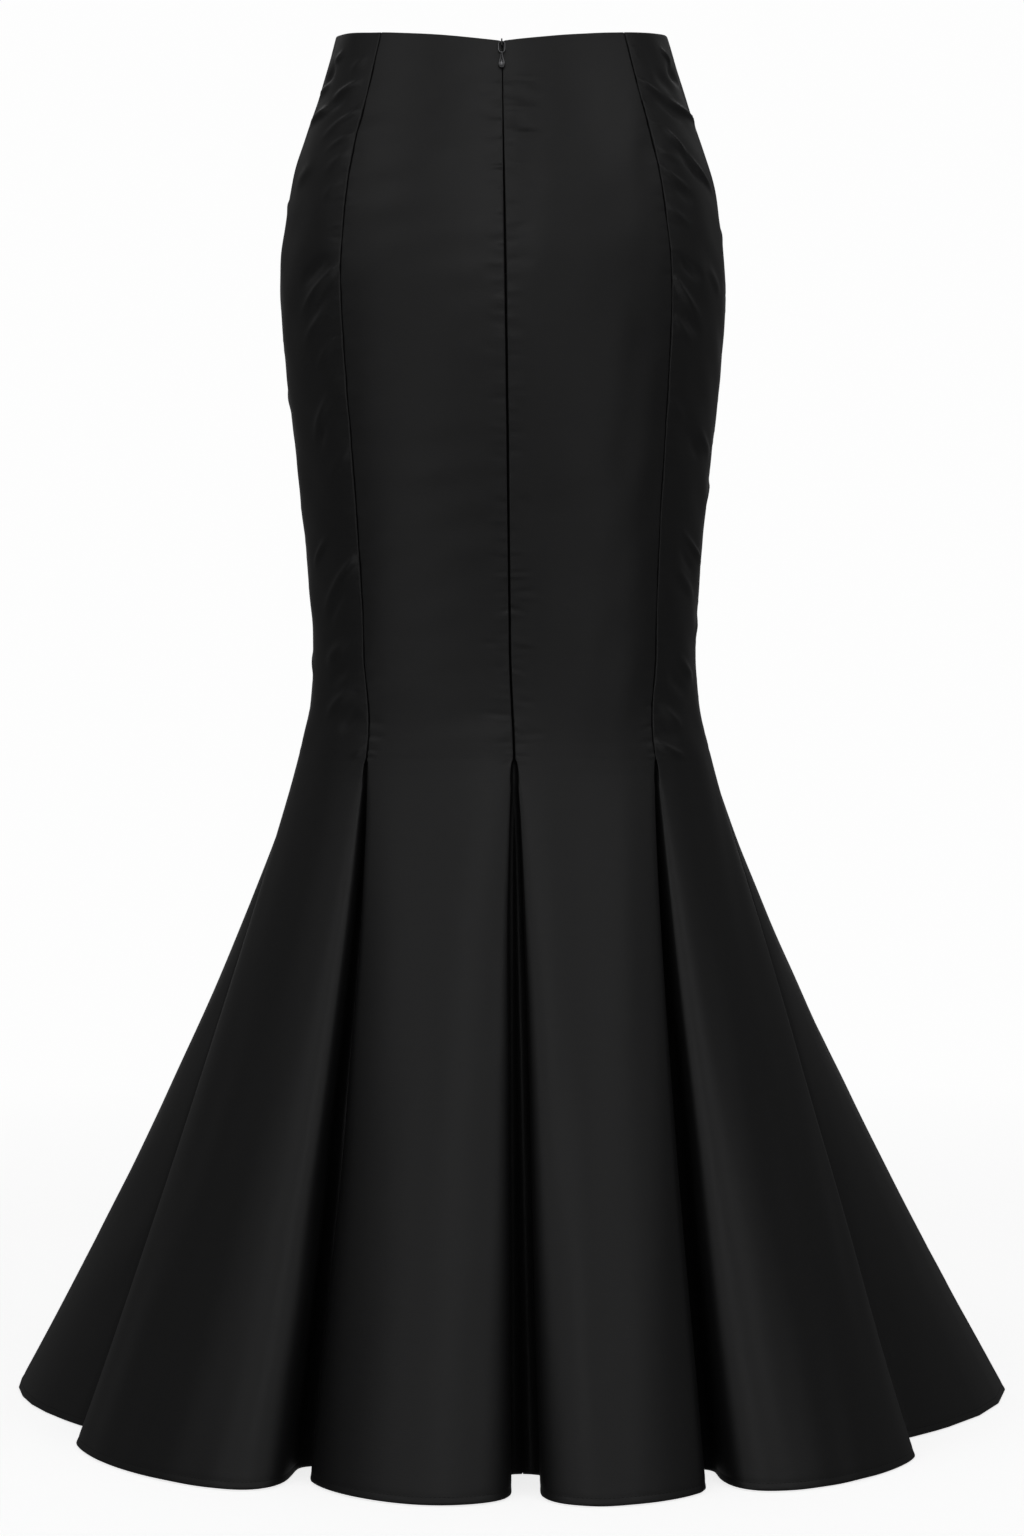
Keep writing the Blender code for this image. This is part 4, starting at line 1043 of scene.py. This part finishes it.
tapeDetail = dict(
    width=0.012,
    thick=0.0005,
    depth=0.00185,           # of its face behind the cloth's face
    bottom=0.800,            # height above the hem
    top=0.0024,              # below the waist edge
    openFrom=0.0074,         # below the waist edge the two tapes meet from here down
    openTo=0.0058,           # and clear the slider's arch from here up
    openHalf=0.0009,
    turned=0.001,            # of its inner edge, which is bent back
    upper=0.012,             # length of the closer rows at its top
    rows=(56, 20),
    columns=9,
    edge=((-0.00012, 0.0007), (0.00002, 0.00045), (0.00022, 0.0002), (0.00055, 0.00004)),
    yarn=0.0005,
    # darker than the satin: partly the tape's own black, partly painted shade for the zip's gap, where the
    # tape shows between the cloth edges
    color=(0.0040, 0.0040, 0.0043),
    roughness=0.75,
    specular=0.2,
    bumpDistance=0.00006,
)


def centreBackTop():
    return float(waistEdge(np.array(seams["centre_back"]["waist"])))


def backFace(angle, height):
    # A place on the closed body and the way out of it.
    point = standing(bodyPlan(angle, height), height)
    step, turn = 0.0005, 0.05
    aside = (standing(bodyPlan(angle + turn, height), height)
             - standing(bodyPlan(angle - turn, height), height))
    upward = (standing(bodyPlan(angle, height + step), height + step)
              - standing(bodyPlan(angle, height - step), height - step))
    return point, unit(np.cross(unit(aside), unit(upward)))


def beside(distance, height):
    # The angle of a place at a distance from the centre back.
    size = bodySize(np.broadcast_to(height, np.shape(distance)))
    return seamAngle("centre_back", height) + np.degrees(distance / size[..., 0])


def makeTape(name, sign, material):
    detail = tapeDetail
    top = centreBackTop() - detail["top"]
    bend = top - detail["upper"]
    heights = np.concatenate([np.linspace(detail["bottom"], bend, detail["rows"][0]),
                              np.linspace(bend, top, detail["rows"][1])[1:]])
    drop = centreBackTop() - heights
    opened = smoothStep((detail["openFrom"] - drop) / (detail["openFrom"] - detail["openTo"]))
    edge = np.array(detail["edge"])
    flat = np.linspace(detail["turned"], detail["width"], detail["columns"])
    distances = np.concatenate([edge[:, 0], flat])
    deeper = np.concatenate([edge[:, 1], np.zeros(len(flat))])
    apart = opened[:, None] * detail["openHalf"]
    distances = distances[None, :] + apart * (1.0 - distances / detail["width"])
    distances, deeper = distances * sign, np.repeat(deeper[None, :], len(heights), axis=0)
    if sign < 0:
        distances, deeper = distances[:, ::-1], deeper[:, ::-1]
    grid = np.repeat(heights[:, None], distances.shape[1], axis=1)
    points, outward = backFace(beside(distances, grid), grid)
    points = points - outward * (detail["depth"] + deeper)[..., None]
    piece = gridPiece(name, points, len(points), 0, distances, heights, material)
    area = faceArea(piece)
    length = float(np.linalg.norm(np.diff(points[:, 4], axis=0), axis=1).sum())
    thicken(piece, detail["thick"])
    return piece, area, length


def makeWeave(name, detail):
    # Twill of fine yarn in the piece's own UV map.
    color = detail["color"]
    material, tree, shader = newMaterial(name, {
        "Roughness": detail["roughness"], "Specular IOR Level": detail["specular"]})
    uv = addNode(tree, "ShaderNodeUVMap", uv_map="cloth")
    wave = addNode(tree, "ShaderNodeTexWave", {
        "Scale": waveScale(detail["yarn"]), "Distortion": 1.0}, bands_direction="DIAGONAL")
    tone = addMix(tree, [v * 0.6 for v in color], color)
    bump = addNode(tree, "ShaderNodeBump", {"Distance": detail["bumpDistance"]})
    join(tree, (uv, "UV", wave, "Vector"), (wave, "Fac", tone, "Factor"), (wave, "Fac", bump, "Height"),
         (tone, "Result", shader, "Base Color"), (bump, "Normal", shader, "Normal"))
    return material


glosses = {                  # colour, roughness, specular, size of the speckle, metal
    "thread": ((0.010, 0.010, 0.0105), 0.6, 0.3, 0.0003, 0.0),
    "nylon": ((0.006, 0.006, 0.0065), 0.35, 0.4, 0.0008, 0.0),
    "lacquer": ((0.010, 0.010, 0.011), 0.3, 0.5, 0.0006, 0.0),
    "enamel": ((0.15, 0.15, 0.155), 0.14, 0.8, 0.0009, 0.9),
}


def makeGloss(name):
    # Lacquer, nylon, thread or dark metal: fine speckle in its colour, gloss and surface.
    color, roughness, specular, grain, metallic = glosses[name]
    material, tree, shader = newMaterial(name, {"Specular IOR Level": specular, "Metallic": metallic})
    coordinates = addNode(tree, "ShaderNodeTexCoord")
    speckle = addNode(tree, "ShaderNodeTexNoise", {"Scale": 1 / grain, "Detail": 3.0})
    tone = addMix(tree, [v * 0.8 for v in color], [v * 1.2 for v in color])
    gloss = addNode(tree, "ShaderNodeMapRange", {"To Min": roughness * 0.8, "To Max": roughness * 1.2})
    bump = addNode(tree, "ShaderNodeBump", {"Distance": grain * 0.01, "Strength": 0.5})
    join(tree, (coordinates, "Object", speckle, "Vector"), (speckle, "Fac", tone, "Factor"),
         (speckle, "Fac", gloss, "Value"), (speckle, "Fac", bump, "Height"),
         (tone, "Result", shader, "Base Color"), (gloss, "Result", shader, "Roughness"),
         (bump, "Normal", shader, "Normal"))
    return material


coilDetail = dict(
    unevenness=0.02,
    pathStep=0.002,
    pitch=0.0013,
    reach=0.0007,            # from the middle of the zip to the middle of a tooth
    depth=0.0034,            # behind the cloth's face
    size=(0.00135, 0.00034, 0.00032),
    top=0.0103,              # below the waist edge, under the slider
)

hemStitch = dict(
    unevenness=0.12,
    pitch=0.0029,
    size=(0.00115, 0.00017, 0.00017),
)


beadSockets = {"Path": "Geometry", "Pitch": "Float", "Size": "Vector", "Unevenness": "Float",
               "Seed": "Int", "Material": "Material"}


def beadTree(name, lengthwise):
    # Puts a bead at even steps of a path, along it or across it.
    tree = bpy.data.node_groups.new(name, "GeometryNodeTree")
    for socket, kind in beadSockets.items():
        tree.interface.new_socket(name=socket, in_out="INPUT", socket_type="NodeSocket" + kind)
    tree.interface.new_socket(name="Beads", in_out="OUTPUT", socket_type="NodeSocketGeometry")
    given = addNode(tree, "NodeGroupInput")
    curve = addNode(tree, "GeometryNodeMeshToCurve")
    steps = addNode(tree, "GeometryNodeCurveToPoints", mode="LENGTH")
    ball = addNode(tree, "GeometryNodeMeshUVSphere", {"Segments": 6, "Rings": 5, "Radius": 1.0})
    shape = addNode(tree, "GeometryNodeTransform")
    turn = addNode(tree, "FunctionNodeAlignRotationToVector", axis="X" if lengthwise else "Z")
    lowest = addNode(tree, "ShaderNodeMath", {0: 1.0}, operation="SUBTRACT")
    uneven = addNode(tree, "FunctionNodeRandomValue", data_type="FLOAT")
    place = addNode(tree, "GeometryNodeInstanceOnPoints")
    real = addNode(tree, "GeometryNodeRealizeInstances")
    smooth = addNode(tree, "GeometryNodeSetShadeSmooth")
    paint = addNode(tree, "GeometryNodeSetMaterial")
    join(tree, (given, "Path", curve, "Mesh"), (curve, "Curve", steps, "Curve"),
         (given, "Pitch", steps, "Length"), (ball, "Mesh", shape, "Geometry"),
         (given, "Size", shape, "Scale"), (steps, "Tangent", turn, "Vector"),
         (given, "Unevenness", lowest, 1), (lowest, "Value", uneven, 2), (given, "Seed", uneven, "Seed"),
         (steps, "Points", place, "Points"), (shape, "Geometry", place, "Instance"),
         (turn, "Rotation", place, "Rotation"), (uneven, 1, place, "Scale"),
         (place, "Instances", real, "Geometry"), (real, "Geometry", smooth, "Geometry"),
         (smooth, "Geometry", paint, "Geometry"), (given, "Material", paint, "Material"),
         (paint, "Geometry", addNode(tree, "NodeGroupOutput"), "Beads"))
    return tree


def makeBeads(name, path, tree, values):
    mesh = bpy.data.meshes.new(name)
    mesh.from_pydata(path.tolist(), [(i, i + 1) for i in range(len(path) - 1)], [])
    piece = addObject(name, mesh)
    modifier = piece.modifiers.new("beads", "NODES")
    modifier.node_group = tree
    for item in tree.interface.items_tree:
        if item.in_out == "INPUT" and item.name in values:
            modifier[item.identifier] = values[item.name]
    bakeModifiers(piece)
    return piece


sliderDetail = dict(
    hingeDrop=0.0016,        # hinge line below the waist edge
    hingeOut=0.00155,        # and off the cloth's face
    lineFrom=0.75,           # its line up starts at this share of the way from hip to waist edge
    plate=((-3.9, 1.2), (-3.9, -3.6), (-3.0, -8.3), (3.0, -8.3), (3.9, -3.6), (3.9, 1.2),
           (1.3, 1.2), (0.0, 0.1), (-1.3, 1.2)),
    plateDepths=(4.45, 6.25),
    rails=(((-3.9, 1.0), (-3.9, -3.5), (-3.0, -8.1), (-2.3, -8.1), (-3.1, -3.5), (-3.1, 1.0)),
           ((3.9, 1.0), (3.1, 1.0), (3.1, -3.5), (2.3, -8.1), (3.0, -8.1), (3.9, -3.5))),
    railDepths=(4.05, 4.6),
    archHalf=0.52,           # half width of the arch that holds the pull
    arch=((-1.65, 1.6, 5.3, 0.85), (-1.65, 1.6, -0.85, -3.6), (-1.65, -2.85, 5.0, -3.6)),
    voxel=0.00016,
    rounds=4,                # of smoothing
)

pullDetail = dict(
    wire=0.0005,
    eyeHalf=0.0023,
    eyeHeight=0.0085,
    drop=((-0.0008, 0.00046, 0.00040), (0.0010, 0.00072, 0.00054), (0.0035, 0.00118, 0.00080),
          (0.0062, 0.00208, 0.00112), (0.0085, 0.00262, 0.00128), (0.0102, 0.00246, 0.00122),
          (0.0113, 0.00190, 0.00096), (0.0120, 0.00112, 0.00060), (0.0123, 0.00030, 0.00020)),
    dropRows=60,
    dropCrowd=1.3,           # closer rows toward its round end
    dropRounds=6,
    dropSides=32,
    wireSides=16,
    arcSteps=24,
    voxel=0.00011,
    rounds=6,
)


def zipFrame():
    # At the hinge line: X across, Y in from the cloth, Z up along the centre back.
    top = centreBackTop()
    angle = seams["centre_back"]["waist"]
    low = form["hip"] + (top - form["hip"]) * sliderDetail["lineFrom"]
    high = standing(bodyPlan(np.array(angle), np.array(top)), np.array(top))
    lower = standing(bodyPlan(seamAngle("centre_back", np.array(low)), np.array(low)), np.array(low))
    up = Vector((0.0, high[1] - lower[1], high[2] - lower[2])).normalized()
    inside = up.cross(Vector((1.0, 0.0, 0.0)))
    frame = Matrix((Vector((1.0, 0.0, 0.0)), inside, up)).transposed().to_4x4()
    frame.translation = Vector(high) - up * sliderDetail["hingeDrop"] - inside * sliderDetail["hingeOut"]
    return frame


def prism(outline, near, far):
    # A block with an outline in X and Z, in millimetres, between two depths.
    count = len(outline)
    verts = [(x / 1000, near / 1000, z / 1000) for x, z in outline]
    verts += [(x / 1000, far / 1000, z / 1000) for x, z in outline]
    faces = [tuple(range(count)), tuple(range(2 * count - 1, count - 1, -1))]
    faces += [(i, i + count, (i + 1) % count + count, (i + 1) % count) for i in range(count)]
    return verts, faces


def tubeRing(path, sides, radius):
    verts, faces = [], []
    count = len(path)
    for i, point in enumerate(path):
        ahead = (path[(i + 1) % count] - path[i - 1]).normalized()
        outward = Vector((ahead.z, 0.0, -ahead.x))
        for k in range(sides):
            turn = 2 * math.pi * k / sides
            verts.append(point + (outward * math.cos(turn) + Vector((0, 1, 0)) * math.sin(turn)) * radius)
    for i in range(count):
        for k in range(sides):
            a, b = i * sides + k, i * sides + (k + 1) % sides
            c, d = (i + 1) % count * sides + (k + 1) % sides, (i + 1) % count * sides + k
            faces.append((a, b, c, d))
    return verts, faces


def dropShape():
    # Rounded rows, closed at both ends.
    detail = pullDetail
    rows, sides = np.array(detail["drop"]), detail["dropSides"]
    below = np.linspace(rows[0, 0], rows[-1, 0], detail["dropRows"])
    share = (below - below[0]) / (below[-1] - below[0])
    below = rows[0, 0] + (rows[-1, 0] - rows[0, 0]) * (1 - (1 - share) ** detail["dropCrowd"])
    half = np.interp(below, rows[:, 0], rows[:, 1])
    thick = np.interp(below, rows[:, 0], rows[:, 2])
    for _ in range(detail["dropRounds"]):
        half[1:-1] = (half[:-2] + half[1:-1] * 2 + half[2:]) / 4
        thick[1:-1] = (thick[:-2] + thick[1:-1] * 2 + thick[2:]) / 4
    verts, faces = [], []
    for a, b, c in zip(below, half, thick):
        for k in range(sides):
            turn = 2 * math.pi * k / sides
            verts.append((b * math.cos(turn), c * math.sin(turn), -detail["eyeHeight"] - a))
    for i in range(len(below) - 1):
        for k in range(sides):
            a, b = i * sides + k, i * sides + (k + 1) % sides
            faces.append((b, a, a + sides, b + sides))
    faces.append(tuple(range(sides)))
    faces.append(tuple(reversed(range(len(verts) - sides, len(verts)))))
    return verts, faces


def fuse(name, shapes, detail, material):
    # Joins shapes into one closed skin and rounds its edges.
    verts, faces = [], []
    for shapeVerts, shapeFaces in shapes:
        first = len(verts)
        verts += [tuple(v) for v in shapeVerts]
        faces += [tuple(first + i for i in face) for face in shapeFaces]
    mesh = bpy.data.meshes.new(name)
    mesh.from_pydata(verts, [], faces)
    work = bmesh.new()
    work.from_mesh(mesh)
    bmesh.ops.recalc_face_normals(work, faces=work.faces)
    work.to_mesh(mesh)
    work.free()
    piece = addObject(name, mesh)
    remesh = piece.modifiers.new("skin", "REMESH")
    remesh.mode = "VOXEL"
    remesh.voxel_size = detail["voxel"]
    soften = piece.modifiers.new("rounding", "SMOOTH")
    soften.factor = 0.5
    soften.iterations = detail["rounds"]
    bakeModifiers(piece)
    piece.data.transform(zipFrame())
    piece.data.materials.clear()
    piece.data.materials.append(material)
    piece.data.shade_smooth()
    return piece


def makeSlider(material):
    detail = sliderDetail
    shapes = [prism(detail["plate"], *detail["plateDepths"])]
    shapes += [prism(rail, *detail["railDepths"]) for rail in detail["rails"]]
    half = detail["archHalf"]
    for near, high, far, low in detail["arch"]:
        shapes.append(prism(((-half, high), (-half, low), (half, low), (half, high)), near, far))
    return fuse("slider", shapes, detail, material)


def makePull(material):
    detail = pullDetail
    half, middle = detail["eyeHalf"], detail["eyeHeight"] - 2 * detail["eyeHalf"]
    path = []
    steps = detail["arcSteps"]
    for centre, start in ((-half, 0.0), (-half - middle, math.pi)):
        for i in range(steps + 1):
            turn = start + math.pi * i / steps
            path.append(Vector((half * math.cos(turn), 0.0, centre + half * math.sin(turn))))
    shapes = [tubeRing(path, detail["wireSides"], detail["wire"]), dropShape()]
    return fuse("pull", shapes, detail, material)


makeCamera()
makeStudio()
print("studio ready")

cloth = makeSatin()
thread = makeGloss("thread")
stitches = beadTree("stitches", True)
teeth = beadTree("teeth", False)
for number, goreName in enumerate(gores):
    piece, hemLine, flatWidth, flatLength = makeGore(goreName, cloth)
    area = faceArea(piece)
    thicken(piece, goreDetail["clothThick"])
    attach(piece, "skirt")
    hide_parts(goreName)
    row = makeBeads("hem_stitches_" + goreName, hemLine, stitches, {
        "Pitch": hemStitch["pitch"], "Size": hemStitch["size"], "Unevenness": hemStitch["unevenness"],
        "Seed": number, "Material": thread})
    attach(row, "skirt")
    print(piece.name, "flat", round(flatWidth, 3), "x", round(flatLength, 3), "area", round(area, 4),
          "faces", len(piece.data.polygons), "stitches", len(row.data.polygons))

tapeWeave = makeWeave("tapeWeave", tapeDetail)
nylon = makeGloss("nylon")
for number, (side, sign) in enumerate((("left", -1.0), ("right", 1.0))):
    piece, area, length = makeTape("tape_" + side, sign, tapeWeave)
    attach(piece, "skirt")
    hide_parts("zip_tape_" + side)
    heights = np.arange(zipBottom + number * coilDetail["pitch"] / 2,
                        centreBackTop() - coilDetail["top"], coilDetail["pathStep"])
    reach = np.full_like(heights, sign * coilDetail["reach"])
    place, outward = backFace(beside(reach, heights), heights)
    coil = makeBeads("coil_" + side, place - outward * coilDetail["depth"], teeth, {
        "Pitch": coilDetail["pitch"], "Size": coilDetail["size"], "Unevenness": coilDetail["unevenness"],
        "Seed": number, "Material": nylon})
    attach(coil, "skirt")
    print(piece.name, "flat", round(tapeDetail["width"] + tapeDetail["turned"], 4), "x", round(length, 3),
          "area", round(area, 5), "teeth", len(coil.data.polygons))

lacquer = makeGloss("lacquer")
enamel = makeGloss("enamel")
slider = makeSlider(lacquer)
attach(slider, "skirt")
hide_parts("zip_slider")
pull = makePull(enamel)
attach(pull, "pull")
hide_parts("zip_pull")
print("zip ready", len(slider.data.polygons), len(pull.data.polygons))
